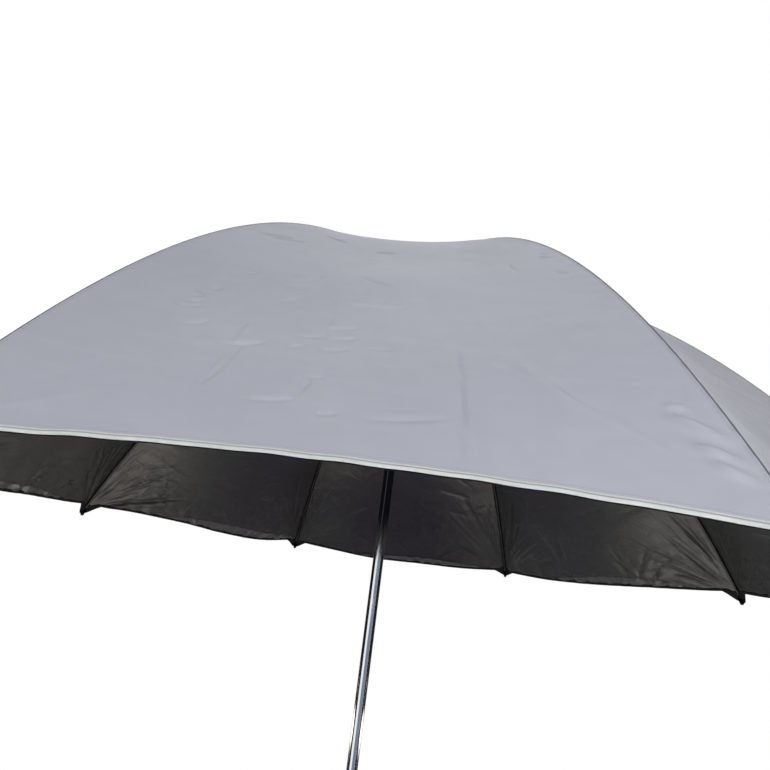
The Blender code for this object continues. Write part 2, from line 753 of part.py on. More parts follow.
def tilt_head_mesh():
    """Tongue on the tilt bolt, round block with the button's hole, plug in the upper pole; from the axis."""
    eye = TILT_EYE_DIAMETER / 2
    bottom = eye + TILT_CLEARANCE
    top = block_top()
    half = TILT_TONGUE_THICKNESS / 2
    root = bottom + CUT_MARGIN
    outline = hull(circle((0, 0), eye, ROUND_SIDES) + [(-eye, root), (eye, root)])
    tongue = plate(outline, -half, half, along="X")
    plug = POLE_BORE_RADIUS - PLUG_CLEARANCE
    outer = BLOCK_DIAMETER / 2
    plug_top = top + SEAT_GAP + PLUG_LENGTH
    body = turned([(0, bottom), (outer, bottom), (outer, top), (plug, top), (plug, plug_top), (0, plug_top)])
    button_height = top - BUTTON_BELOW_BLOCK_TOP
    button_bore = BUTTON_DIAMETER / 2 + BUTTON_CLEARANCE
    button_hole = cylinder(
        button_bore, (0, -outer - CUT_MARGIN, button_height), (0, button_hole_end(), button_height)
    )
    bolt_hole = cross_pin(BOLT_DIAMETER / 2 + BOLT_CLEARANCE, 0, half + CUT_MARGIN)
    return combined(
        body, [tongue], [bolt_hole, button_hole, rivet_hole(top + SEAT_GAP + TUBE_RIVET_FROM_END)]
    )


def button_inner_end():
    return -BLOCK_DIAMETER / 2 + BUTTON_IN_BLOCK


def button_hole_end():
    return button_inner_end() + BUTTON_TRAVEL + BUTTON_CLEARANCE


def tilt_button_mesh():
    """A round push button in the block, from the button's own axis."""
    radius = BUTTON_DIAMETER / 2
    outer_end = BLOCK_DIAMETER / 2 + BUTTON_STANDS_OUT
    length = outer_end + button_inner_end()
    profile = [(0, 0), (radius, 0), (radius, length - BUTTON_ROUNDING), (radius - BUTTON_ROUNDING, length)]
    profile += [(0, length)]
    mesh = turned(profile, SMALL_SIDES)
    mesh.transform(Matrix.Translation((0, button_inner_end(), 0)) @ Matrix.Rotation(math.pi / 2, 4, "X"))
    return smooth(mesh)


def fork_cheek_span():
    inner = TILT_TONGUE_THICKNESS / 2 + TILT_SIDE_CLEARANCE
    return inner, inner + TILT_CHEEK_THICKNESS


def tilt_fork_mesh():
    """Two cheeks on a flange, with the plug in the middle tube, from the tilt axis."""
    eye = TILT_EYE_DIAMETER / 2
    inner, outer = fork_cheek_span()
    flange_low = -TILT_FLANGE_DEPTH - TILT_FLANGE_HEIGHT
    foot = -TILT_FLANGE_DEPTH - TILT_FLANGE_HEIGHT / 2
    outline = hull(circle((0, 0), eye, ROUND_SIDES) + [(-eye, foot), (eye, foot)])
    cheeks = [plate(outline, inner, outer, along="X"), plate(outline, -outer, -inner, along="X")]
    plug = POLE_BORE_RADIUS - PLUG_CLEARANCE
    flange = TILT_FLANGE_DIAMETER / 2
    plug_low = flange_low - SEAT_GAP - PLUG_LENGTH
    profile = [(0, plug_low), (plug, plug_low), (plug, flange_low), (flange, flange_low)]
    profile += [(flange, -TILT_FLANGE_DEPTH), (0, -TILT_FLANGE_DEPTH)]
    bolt_hole = cross_pin(BOLT_DIAMETER / 2 + BOLT_CLEARANCE, 0, outer + CUT_MARGIN)
    hole = rivet_hole(flange_low - SEAT_GAP - TUBE_RIVET_FROM_END)
    return combined(turned(profile), cheeks, [bolt_hole, hole])


def tilt_bolt_mesh():
    """Shank and round head, along X, from the tilt axis."""
    seat = fork_cheek_span()[1] + SEAT_GAP
    shank_end = seat + NUT_HEIGHT + BOLT_PAST_NUT
    head = cross_pin(BOLT_HEAD_DIAMETER / 2, 0, -seat, -seat - BOLT_HEAD_HEIGHT)
    shank = cross_pin(BOLT_DIAMETER / 2, 0, shank_end, -seat - BOLT_HEAD_HEIGHT / 2)
    return combined(head, [shank])


def tilt_nut_mesh():
    """A hexagon nut on the bolt's end."""
    seat = fork_cheek_span()[1] + SEAT_GAP
    nut = cylinder(NUT_DIAMETER / 2, (seat, 0, 0), (seat + NUT_HEIGHT, 0, 0), NUT_SIDES)
    hole = cross_pin(BOLT_DIAMETER / 2 + BOLT_CLEARANCE, 0, seat + NUT_HEIGHT + CUT_MARGIN, 0)
    return combined(nut, [], [hole])


def middle_pole_mesh():
    """Tube between the lower tube and the tilt fork, from the spike's shoulder."""
    top = TILT_HEIGHT - TILT_FLANGE_DEPTH - TILT_FLANGE_HEIGHT - SEAT_GAP
    shell = tube(POLE_RADIUS, POLE_BORE_RADIUS, LOWER_TOP - MIDDLE_OVERLAP, top)
    return combined(shell, [], [rivet_hole(top - TUBE_RIVET_FROM_END)])


def screw_height():
    return LOWER_TOP + CLAMP_LIP - CLAMP_SCREW_BELOW_TOP


def lower_pole_mesh():
    shell = tube(LOWER_RADIUS, LOWER_RADIUS - LOWER_WALL, SHOULDER_HEIGHT + SEAT_GAP, LOWER_TOP)
    hole = cross_pin(SCREW_DIAMETER / 2 + SCREW_CLEARANCE, screw_height(), LOWER_RADIUS + CUT_MARGIN, 0)
    return combined(shell, [], [hole])


def clamp_outer_radius():
    return LOWER_RADIUS + PLUG_CLEARANCE + CLAMP_WALL


def clamp_collar_mesh():
    """Collar on the lower tube's end, with a lip round the middle tube and the screw's boss."""
    outer = clamp_outer_radius()
    lip_bottom = LOWER_TOP + SEAT_GAP
    low = lip_bottom + CLAMP_LIP - CLAMP_LENGTH
    high = lip_bottom + CLAMP_LIP
    bore = LOWER_RADIUS + PLUG_CLEARANCE
    lip_bore = POLE_RADIUS + CLAMP_RUNNING_CLEARANCE
    profile = [(outer, low), (outer, high), (lip_bore, high), (lip_bore, lip_bottom)]
    profile += [(bore, lip_bottom), (bore, low)]
    body = turned(profile, ring=True)
    boss = cross_pin(BOSS_DIAMETER / 2, screw_height(), outer + BOSS_LENGTH, outer - CLAMP_WALL / 2)
    reach = outer + BOSS_LENGTH + CUT_MARGIN
    screw_hole = cross_pin(SCREW_DIAMETER / 2 + SCREW_CLEARANCE, screw_height(), reach, POLE_RADIUS)
    return combined(body, [boss], [screw_hole])


def clamp_screw_mesh():
    """Lobed knob and shank that presses on the middle tube, along X, from the screw's axis."""
    seat = clamp_outer_radius() + BOSS_LENGTH + SEAT_GAP
    outline = []
    steps = KNOB_STEPS_PER_LOBE * KNOB_LOBES
    for number in range(steps):
        turn = 2 * math.pi * number / steps
        radius = KNOB_DIAMETER / 2 - KNOB_LOBE_DEPTH * (1 - math.cos(KNOB_LOBES * turn)) / 2
        outline.append((radius * math.cos(turn), radius * math.sin(turn)))
    knob = plate(outline, seat, seat + KNOB_LENGTH, along="X")
    shank = cross_pin(SCREW_DIAMETER / 2, 0, seat + KNOB_LENGTH / 2, POLE_RADIUS + SEAT_GAP)
    return combined(knob, [shank])


def spike_mesh():
    """Point, flat-bottomed shoulder and the plug inside the lower tube."""
    point = SPIKE_POINT_DIAMETER / 2
    plug = LOWER_RADIUS - LOWER_WALL - PLUG_CLEARANCE
    shoulder = SHOULDER_DIAMETER / 2
    plug_top = SHOULDER_HEIGHT + SEAT_GAP + PLUG_LENGTH
    profile = [(0, -SPIKE_LENGTH), (point, -SPIKE_LENGTH), (SPIKE_SHANK_DIAMETER / 2, -SPIKE_SHANK_LENGTH)]
    profile += [(LOWER_RADIUS, 0), (shoulder, 0), (shoulder, SHOULDER_HEIGHT)]
    profile += [(plug, SHOULDER_HEIGHT), (plug, plug_top), (0, plug_top)]
    return smooth(turned(profile))


def build():
    ground = joint_axis("ground", (0, 0, 0))
    piece("lower_pole", lower_pole_mesh(), "chromed_steel", ground)
    piece("ground_spike", spike_mesh(), "black_plastic", ground)
    piece("clamp_collar", clamp_collar_mesh(), "black_plastic", ground)
    screw = joint_axis("clamp_screw_axis", (0, 0, screw_height()), parent=ground)
    piece("clamp_screw", clamp_screw_mesh(), "black_plastic", screw)

    height = joint_axis("height_axis", (0, 0, 0), parent=ground)
    piece("middle_pole", middle_pole_mesh(), "chromed_steel", height)
    fork = joint_axis("tilt_fork_place", (0, 0, TILT_HEIGHT), parent=height)
    piece("tilt_fork", tilt_fork_mesh(), "black_plastic", fork)
    piece("tilt_bolt", tilt_bolt_mesh(), "bright_steel", fork)
    piece("tilt_nut", tilt_nut_mesh(), "bright_steel", fork)
    fork_rivet = -TILT_FLANGE_DEPTH - TILT_FLANGE_HEIGHT - SEAT_GAP - TUBE_RIVET_FROM_END
    piece("fork_rivet", tube_rivet_mesh(fork_rivet), "bright_steel", fork)

    tilt = joint_axis("tilt_axis", (0, 0, TILT_HEIGHT), parent=height)
    piece("tilt_head", tilt_head_mesh(), "black_plastic", tilt)
    head_rivet = block_top() + SEAT_GAP + TUBE_RIVET_FROM_END
    piece("head_rivet", tube_rivet_mesh(head_rivet), "bright_steel", tilt)
    button_height = TILT_HEIGHT + block_top() - BUTTON_BELOW_BLOCK_TOP
    button = joint_axis("tilt_button_axis", (0, 0, button_height), parent=tilt)
    piece("tilt_button", tilt_button_mesh(), "black_plastic", button)

    crown = joint_axis("crown", (0, 0, CROWN_HEIGHT), parent=tilt)
    piece("upper_pole", upper_pole_mesh(), "chromed_steel", crown)
    piece("crown_hub", crown_hub_mesh(), "black_plastic", crown)
    piece("crown_ring", smooth(hinge_ring_mesh(RING_DIAMETER / 2)), "bright_steel", crown)
    piece("finial", finial_mesh(), "black_plastic", crown)
    catch = joint_axis("catch_axis", (0, 0, CROWN_HEIGHT), parent=crown)
    piece("runner_catch", catch_mesh(), "bright_steel", catch)

    inner_mesh = inner_rib_mesh()
    outer_mesh = outer_rib_mesh()
    stretcher = stretcher_mesh()
    cap_mesh = tip_cap_mesh()
    front_panel = panel_mesh(FRONT_HEM_RISE)
    other_panel = panel_mesh(HEM_RISE)
    for number in range(1, RIB_COUNT + 1):
        azimuth = -math.pi / 2 + HALF_STEP + (number - 1) * RIB_STEP
        outwards = Vector((math.cos(azimuth), math.sin(azimuth), 0))
        hinge_place = outwards * HINGE_RADIUS + Vector((0, 0, CROWN_HEIGHT))
        rivet_place = hinge_place + outwards * RIVET[0] + Vector((0, 0, RIVET[1]))
        hinge = joint_axis(f"crown_hinge_{number}", hinge_place, azimuth, crown)
        rivet = joint_axis(f"rib_joint_{number}", rivet_place, azimuth, hinge)
        piece(f"rib_inner_{number}", inner_mesh, "black_steel", hinge)
        piece(f"rib_outer_{number}", outer_mesh, "black_steel", rivet)
        piece(f"tip_cap_{number}", cap_mesh, "black_plastic", rivet)
        piece(f"stretcher_{number}", stretcher, "black_steel", rivet)
        middle = joint_axis(f"panel_{number}_middle", (0, 0, CROWN_HEIGHT), azimuth - HALF_STEP, hinge)
        panel = front_panel if number == 1 else other_panel
        piece(f"canopy_panel_{number}", panel, "silver_cloth", middle)
        if number == 1:
            runner_hinge = hinge_place + Vector((0, 0, RUNNER_RING[1]))
            runner = joint_axis("runner_hinge", runner_hinge, 0.0, rivet)

    runner_place = joint_axis("runner_centre", (0, 0, RUNNER_HEIGHT), parent=runner)
    piece("runner", runner_mesh(), "black_plastic", runner_place)
    piece("runner_ring", smooth(hinge_ring_mesh(RING_DIAMETER / 2)), "bright_steel", runner_place)


build()
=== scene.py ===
"""The beach umbrella's looks: cloth, seams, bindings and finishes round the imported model, in a studio.

Metres, +Z up. The origin is on the pole's axis at the spike's shoulder. Panel k lies between ribs k - 1
and k, and panel 1 faces -Y.
"""

import math

import bpy
import numpy as np
from mathutils import Matrix, Vector


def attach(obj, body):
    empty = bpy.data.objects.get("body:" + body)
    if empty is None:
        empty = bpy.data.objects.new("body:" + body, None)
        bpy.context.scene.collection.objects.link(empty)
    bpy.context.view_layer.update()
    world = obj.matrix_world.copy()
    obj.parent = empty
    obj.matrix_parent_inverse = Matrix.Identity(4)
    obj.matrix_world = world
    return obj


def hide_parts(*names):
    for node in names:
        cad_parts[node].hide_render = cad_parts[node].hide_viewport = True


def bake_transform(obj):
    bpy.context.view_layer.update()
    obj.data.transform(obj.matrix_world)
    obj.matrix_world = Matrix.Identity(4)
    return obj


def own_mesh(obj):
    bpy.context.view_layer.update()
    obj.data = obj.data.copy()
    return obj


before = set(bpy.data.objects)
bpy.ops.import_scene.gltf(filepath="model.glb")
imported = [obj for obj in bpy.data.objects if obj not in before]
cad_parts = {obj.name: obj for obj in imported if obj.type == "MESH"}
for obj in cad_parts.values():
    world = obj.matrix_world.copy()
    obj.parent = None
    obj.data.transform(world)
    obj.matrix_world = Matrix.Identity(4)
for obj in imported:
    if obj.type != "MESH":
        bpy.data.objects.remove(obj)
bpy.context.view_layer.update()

# The canopy's line, as in the part's source
RIB_COUNT = 8
RIB_ARC = 1.25
JOINT_ARC = 0.518
START_SLOPE = math.radians(11.0)
END_SLOPE = math.radians(55.1)
EVEN_BEND = 0.4
CLOTH_OVER_RIB = 0.0052
CLOTH_LIFT_AT_CROWN = 0.0048
CLOTH_LIFT_LENGTH = 0.12
CLOTH_HOLE_RADIUS = 0.0095
CLOTH_SAG = 0.045
HEM_SAG = 0.028
HEM_SAG_LENGTH = 0.35
FRONT_HEM_RISE = 0.042
CAP_END = 0.0163  # from the cloth's corner to the tip cap's end
HINGE_RADIUS = 0.032
CROWN_HEIGHT = 2.20
SPIKE_LENGTH = 0.120

HALF_STEP = math.pi / RIB_COUNT
FRONT = 1

# The cloth's pieces
CLOTH_THICKNESS = 0.0007
CLOTH_START = 0.0066  # arc where the moving cloth starts, under the crown patch
STRIP_HALF = 0.0076  # half width of the strip over a rib, along the cloth
STRIP_STEPS = (0.0, 0.11, 0.24, 0.42, 0.68, 1.0)
SIDE_STEPS = 60
FRONT_SIDE_STEPS = 110
INNER_ROWS = 70
OUTER_ROWS = 240
HEM_ROWS = 8
HEM_FOLD = 0.0015
HEM_NOTCH = 0.034  # from a rib to where a hem has risen
FRONT_HEM_TURNING = 0.008
ARC_TABLE_STEP = 0.001
CHART_STEP = 2.0  # from one panel's cloth coordinates to the next one's, so that no two panels look alike
MEASURES = ("seam_distance", "hem_distance", "band_depth")
NO_BAND = -1.0  # band_depth away from the curled bands
LEAST_BAND = 0.002  # the narrowest curl that counts as a band
OFF_SEAM = 0.01  # seam_distance of pieces that meet no seam
TAPE_TOP = 0.0001  # from the lining to the tape's two sides
TAPE_UNDER = 0.0005
PATCH_END = 0.021  # arc where the crown patch ends
PATCH_ROWS = 25
PATCH_STEPS = 12
PATCH_THICKNESS = 0.0006
PATCH_LIFT = 0.00005
PATCH_STEP = 0.0009  # up, over the moving cloth
PATCH_CHART_RADIUS = 0.05
PATCH_STITCH_SHIFT = 0.007  # added to hem_distance, which moves the stitches towards the edge

# How far each hem lies above the line between its corners, in mm, at even steps from rib to rib
HEM_RISES = {
    2: (12, 8, 2, -4, 4, 12),
    3: (12, 6, -2, 2, 10, 14),
    4: (17, 11, 4, -4, -6, 0),
    5: (4, -5, -6, -9, 1, 10),
    6: (14, -4, 3, 19, 26, 16),
    7: (20, 20, 18, 12, 9, 10),
    8: (12, 6, -4, -2, 8, 14),
}
# The curled band above each hem: its middle and half its length, as shares of the panel, and its width in mm
HEM_BANDS = {
    2: (0.55, 0.34, 28),
    3: (0.48, 0.36, 30),
    4: (0.44, 0.36, 33),
    5: (0.38, 0.36, 28),
    6: (0.34, 0.40, 40),
    7: (0.52, 0.38, 30),
    8: (0.46, 0.35, 31),
}
# Folds that run out of a panel's corner at its first rib, at its last rib and out of its hem: how many
FOLDS_FROM = {
    1: (3, 3, 0),
    2: (12, 10, 6),
    3: (14, 12, 8),
    4: (30, 16, 22),
    5: (14, 12, 14),
    6: (14, 30, 10),
    7: (18, 26, 8),
    8: (12, 14, 6),
}
# The front panel's creases in mm: both ends, across and along the cloth, half the width and the height
FRONT_CREASES = (
    (-221, 965, -197, 959, 4.5, -0.7),
    (-213, 953, -197, 944, 4.5, -0.6),
    (-215, 938, -201, 929, 4.5, -0.6),
    (-209, 924, -192, 911, 4.5, -0.8),
    (-202, 909, -189, 903, 4.5, -0.6),
    (-198, 1007, -176, 994, 5, -0.7),
    (-178, 835, -161, 822, 4.5, -0.5),
    (-174, 847, -159, 839, 4.5, -0.5),
    (-107, 837, -72, 825, 4.5, -0.8),
    (-108, 862, -66, 851, 4.5, -0.9),
    (-107, 880, -83, 868, 4.5, -0.5),
    (-109, 912, -88, 903, 4.5, -0.7),
    (-15, 811, 18, 829, 4.5, -0.6),
    (-20, 900, 46, 897, 5, -1),
    (-32, 973, 0, 966, 4.5, -0.8),
    (-26, 997, 2, 991, 4.5, -0.8),
    (-60, 999, -37, 992, 4.5, -0.7),
    (-67, 1023, -54, 1020, 4, -0.6),
    (-30, 1024, -5, 1019, 4, -0.7),
    (23, 1014, 47, 1010, 4, -0.6),
    (-140, 1035, -103, 1024, 4.5, -0.9),
    (-81, 1131, -44, 1124, 4, -0.7),
    (-11, 1142, 7, 1139, 4, -0.6),
    (-35, 1080, -19, 1079, 4, -0.4),
    (50, 1143, 110, 1135, 5, -0.5),
    (-132, 979, -136, 1022, 3.4, -0.7),
    (-123, 1035, -128, 1067, 3.4, -0.7),
    (-129, 1078, -140, 1114, 3.4, -0.6),
    (-139, 1066, -145, 1113, 3.4, -0.5),
    (-33, 1088, -37, 1110, 3.4, -0.6),
    (-37, 912, -35, 989, 3.6, -0.3),
    (121, 1013, 125, 1054, 3.6, -0.6),
    (126, 1072, 132, 1148, 3.6, -0.8),
    (133, 1148, 141, 1195, 4, 0.5),
    (228, 686, 244, 691, 4.5, -0.6),
    (225, 705, 245, 711, 4.5, -0.7),
    (242, 778, 255, 786, 4.5, -0.6),
    (183, 734, 188, 763, 3.6, -0.4),
    (-200, 660, -161, 652, 4.5, -0.8),
    (-180, 671, -138, 665, 4.5, -0.8),
    (-115, 576, -78, 611, 4.5, -0.6),
    (-17, 666, 9, 664, 4.5, -0.6),
    (189, 1034, 239, 1111, 12, 0.8),
    (325, 1121, 372, 1152, 9, 1.5),
    (338, 1159, 382, 1180, 9, 1.5),
    (346, 1180, 383, 1200, 8, 1.3),
    (319, 1099, 337, 1101, 6, 0.8),
)

CREASE_WIDTH = 0.75  # factors of the widths and of the heights above
CREASE_HEIGHT = 5.2
CREASE_BEND = 0.03  # sideways, times the way along squared and over the length
CREASE_REACH = 0.58  # of its length, from its middle to where it has mostly faded

# Waves in the cloth: how many, the shortest and the longest, the way across their crests and its spread,
# and their height
ALONG = math.pi / 2
SOFT_WAVES = (8, 0.12, 0.30, ALONG, 1.0, 0.0008)
FINE_WAVES = (8, 0.035, 0.08, ALONG, 0.7, 0.00014)
CROWN_WAVES = (4, 0.08, 0.2, 0.0, 0.0, 0.0005)
PUCKERS = (6, 0.011, 0.035, ALONG, 0.0, 0.0003)
FRONT_HEM_WAVES = (5, 0.05, 0.12, 0.0, 0.2, 0.0003)
HEM_WAVES = (6, 0.03, 0.09, 0.0, 0.35, 0.0009)
RUFFLES = (8, 0.022, 0.08, 0.0, 0.6, 0.0020)
FAN_HEIGHT = 0.0026
FRONT_FAN_SHARE = 0.5
# Folds out of a corner and out of a hem: their turns from the way to the crown, where they start, how long
CORNER_TURNS = (0.12, 1.25)
CORNER_FOLDS = ((0.03, 0.16), (0.06, 0.20))
HEM_FOLDS = ((-1.0, 1.0), (0.015, 0.05), (0.04, 0.15))
HEM_FANS = 3
SHORT_CREASES = 50
SHORT_CREASE_HEIGHT = 0.0020
CURL_HEIGHT = 0.004
TUCK_DEPTH = 0.0014
SEAM_RIDGE = 0.0011  # how high the seam over a rib stands
SEAM_RIDGE_WIDTH = 0.0016
SEAM_DIP = 0.0005  # how deep the cloth lies on both sides of it
SEAM_DIP_PLACE = 0.0036
FOLD_SEED = 40


# Node trees

HEM_STITCHES = 0.0105  # from a hem to its row of stitches
BINDING_LINE = 0.0039  # from a binding's hem to the line between its stripes


def supply(tree, node, inputs):
    """Links a node's inputs to the sockets given for them, and sets the plain values."""
    for name, value in inputs.items():
        if isinstance(value, bpy.types.NodeSocket):
            tree.links.new(value, node.inputs[name])
        else:
            node.inputs[name].default_value = value


def spaced(inputs):
    """Inputs by their names, which are given with _ for a space."""
    return {name.replace("_", " "): value for name, value in inputs.items()}


def add(tree, kind, inputs=(), **settings):
    """A shader node with its settings and its inputs."""
    node = tree.nodes.new("ShaderNode" + kind)
    for name, value in settings.items():
        setattr(node, name, value)
    supply(tree, node, dict(inputs))
    return node


def maths(tree, operation, *values):
    return add(tree, "Math", enumerate(values), operation=operation).outputs[0]


def product(tree, first, second):
    return maths(tree, "MULTIPLY", first, second)


def less(tree, first, second):
    return maths(tree, "SUBTRACT", first, second)


def distance(tree, first, second):
    return maths(tree, "ABSOLUTE", less(tree, first, second))


def stepped(tree, value, low, high, start=0.0, end=1.0):
    """Runs smoothly from start to end as the value goes from low to high."""
    inputs = {"Value": value, "From Min": low, "From Max": high, "To Min": start, "To Max": end}
    return add(tree, "MapRange", inputs, interpolation_type="SMOOTHSTEP").outputs[0]


def opaque(colour):
    """What a colour input takes, from a socket or from red, green and blue."""
    return colour if isinstance(colour, bpy.types.NodeSocket) else (*colour, 1.0)


def mixed(tree, share, first, second):
    """A colour between two."""
    return add(tree, "Mix", {0: share, 6: opaque(first), 7: opaque(second)}, data_type="RGBA").outputs[2]


def layered(tree, colour, *layers):
    """A colour with others laid over it, each through its mask."""
    for mask, tone in layers:
        colour = mixed(tree, mask, colour, tone)
    return colour


def noise(tree, place, scale, detail=3.0, roughness=0.5, stretch=(1.0, 1.0, 1.0)):
    spread = add(tree, "Mapping", {"Vector": place, "Scale": stretch}).outputs[0]
    inputs = {"Vector": spread, "Scale": scale, "Detail": detail, "Roughness": roughness}
    return add(tree, "TexNoise", inputs).outputs["Fac"]


def new_group(name, inputs, outputs):
    """A node group's tree, the sockets of its inputs by name, and its output node."""
    tree = bpy.data.node_groups.new(name, "ShaderNodeTree")
    for label, kind in inputs.items():
        tree.interface.new_socket(name=label, in_out="INPUT", socket_type="NodeSocket" + kind)
    for label in outputs:
        tree.interface.new_socket(name=label, in_out="OUTPUT", socket_type="NodeSocketFloat")
    given = tree.nodes.new("NodeGroupInput").outputs
    return tree, {label: given[label] for label in inputs}, tree.nodes.new("NodeGroupOutput").inputs


def weave_group():
    """Threads over and under each other."""
    tree, given, made = new_group("Weave", {"Cloth": "Vector", "Pitch": "Float"}, ["Height"])
    split = add(tree, "SeparateXYZ", {0: given["Cloth"]}).outputs
    turns = maths(tree, "DIVIDE", 2 * math.pi, given["Pitch"])
    waves = [maths(tree, "SINE", product(tree, split[axis], turns)) for axis in (0, 1)]
    crossing = product(tree, *waves)
    tree.links.new(maths(tree, "MULTIPLY_ADD", crossing, 0.5, 0.5), made["Height"])
    return tree


def stitch_group():
    """A row of stitches: short dashes on a line that a distance measures from."""
    inputs = {"From Row": "Float", "Along": "Float", "Pitch": "Float", "Width": "Float"}
    tree, given, made = new_group("Stitches", inputs, ["Mask"])
    share = maths(tree, "FRACT", maths(tree, "DIVIDE", given["Along"], given["Pitch"]))
    dash = stepped(tree, distance(tree, share, 0.5), 0.30, 0.42, 1.0, 0.0)
    off_row = maths(tree, "DIVIDE", maths(tree, "ABSOLUTE", given["From Row"]), given["Width"])
    row = stepped(tree, off_row, 0.35, 0.6, 1.0, 0.0)
    tree.links.new(product(tree, dash, row), made["Mask"])
    return tree


def crumple_group():
    """Fine crossing creases, as cloth keeps from having been folded away."""
    tree, given, made = new_group("Crumple", {"Cloth": "Vector", "Scale": "Float"}, ["Height"])
    wander = noise(tree, given["Cloth"], 9.0, 2.0)
    shift = add(tree, "CombineXYZ", {0: product(tree, wander, 0.08), 1: product(tree, wander, -0.06)})
    bent = add(tree, "VectorMath", {0: given["Cloth"], 1: shift.outputs[0]}, operation="ADD")
    inputs = {"Vector": bent.outputs[0], "Scale": given["Scale"]}
    cells = add(tree, "TexVoronoi", inputs, feature="DISTANCE_TO_EDGE").outputs["Distance"]
    ridge = stepped(tree, cells, 0.0, 0.09, 1.0, 0.0)
    patches = stepped(tree, noise(tree, given["Cloth"], 5.0, 1.0), 0.48, 0.66)
    tree.links.new(product(tree, ridge, patches), made["Height"])
    return tree


def fan_group():
    """Fine folds that run out of a panel's corner."""
    inputs = {"Aside": "Float", "Above": "Float", "Across": "Float"}
    tree, given, made = new_group("Fan folds", inputs, ["Height"])
    turn = maths(tree, "ARCTAN2", given["Aside"], given["Above"])
    squares = [product(tree, given[label], given[label]) for label in ("Aside", "Above")]
    reach = maths(tree, "SQRT", maths(tree, "ADD", *squares))
    parts = {0: product(tree, turn, 8.5), 1: product(tree, reach, 6.0)}
    parts[2] = product(tree, given["Across"], 0.8)
    value = noise(tree, add(tree, "CombineXYZ", parts).outputs[0], 1.0, 2.0)
    ridge = stepped(tree, distance(tree, value, 0.5), 0.0, 0.045, 1.0, 0.0)
    shown = product(tree, stepped(tree, reach, 0.02, 0.06), stepped(tree, reach, 0.15, 0.36, 1.0, 0.0))
    tree.links.new(product(tree, ridge, shown), made["Height"])
    return tree


def mottle_group():
    """Slow uneven patches with a finer grain in them."""
    tree, given, made = new_group("Mottle", {"Place": "Vector", "Scale": "Float"}, ["Value"])
    broad = noise(tree, given["Place"], given["Scale"], 2.0)
    fine = noise(tree, given["Place"], product(tree, given["Scale"], 11.0), 3.0)
    total = maths(tree, "MULTIPLY_ADD", fine, 0.35, product(tree, broad, 0.65))
    tree.links.new(stepped(tree, total, 0.3, 0.7), made["Value"])
    return tree


def scratch_group():
    """Long hairlines along Z and short ones across, with smudges between."""
    tree, given, made = new_group("Scratches", {"Place": "Vector"}, ["Lines", "Smudges"])
    hair = noise(tree, given["Place"], 900.0, 2.0, stretch=(1.0, 1.0, 0.015))
    ring = noise(tree, given["Place"], 700.0, 2.0, stretch=(0.03, 0.03, 1.0))
    lines = maths(tree, "ADD", stepped(tree, hair, 0.62, 0.72), stepped(tree, ring, 0.66, 0.74))
    tree.links.new(lines, made["Lines"])
    tree.links.new(stepped(tree, noise(tree, given["Place"], 26.0, 4.0), 0.35, 0.72), made["Smudges"])
    return tree


WEAVE = weave_group()
STITCHES = stitch_group()
CRUMPLE = crumple_group()
FANS = fan_group()
MOTTLE = mottle_group()
SCRATCHES = scratch_group()


def using(tree, group, **inputs):
    """A group's outputs."""
    return add(tree, "Group", spaced(inputs), node_tree=group).outputs


def woven(tree, place, pitch):
    return using(tree, WEAVE, Cloth=place, Pitch=pitch)["Height"]


def crumpled(tree, place, scale):
    return using(tree, CRUMPLE, Cloth=place, Scale=scale)["Height"]


def mottled(tree, place, scale):
    return using(tree, MOTTLE, Place=place, Scale=scale)["Value"]


def stitched(tree, from_row, along, pitch=0.0032, width=0.0009):
    """A mask of stitches along the line where from_row is 0."""
    return using(tree, STITCHES, From_Row=from_row, Along=along, Pitch=pitch, Width=width)["Mask"]


def new_material(name):
    """A material, its tree and its shader."""
    made = bpy.data.materials.new(name)
    made.use_nodes = True
    return made, made.node_tree, made.node_tree.nodes["Principled BSDF"]


def feed(tree, shader, **inputs):
    supply(tree, shader, spaced(inputs))


def textured(tree, *bumps):
    """A normal from bumps over one another, each a height, a strength and a depth."""
    inputs = {}
    for height, strength, depth in bumps:
        inputs.update({"Height": height, "Strength": strength, "Distance": depth})
        inputs["Normal"] = add(tree, "Bump", inputs).outputs[0]
    return inputs["Normal"]


def cloth_place(tree):
    """The cloth's own coordinates in metres: their vector, across, and along from the crown."""
    place = add(tree, "UVMap", uv_map="cloth").outputs[0]
    split = add(tree, "SeparateXYZ", {0: place}).outputs
    return place, split[0], split[1]


def solid_place(tree):
    """A solid's own coordinates in metres."""
    return add(tree, "TexCoord").outputs["Object"]


def measure(tree, name):
    return add(tree, "Attribute", attribute_name=name).outputs["Fac"]


def stitched_hem(tree, across, height=HEM_STITCHES, pitch=0.0032):
    """A mask of stitches at a height above the hem."""
    return stitched(tree, less(tree, measure(tree, "hem_distance"), height), across, pitch)


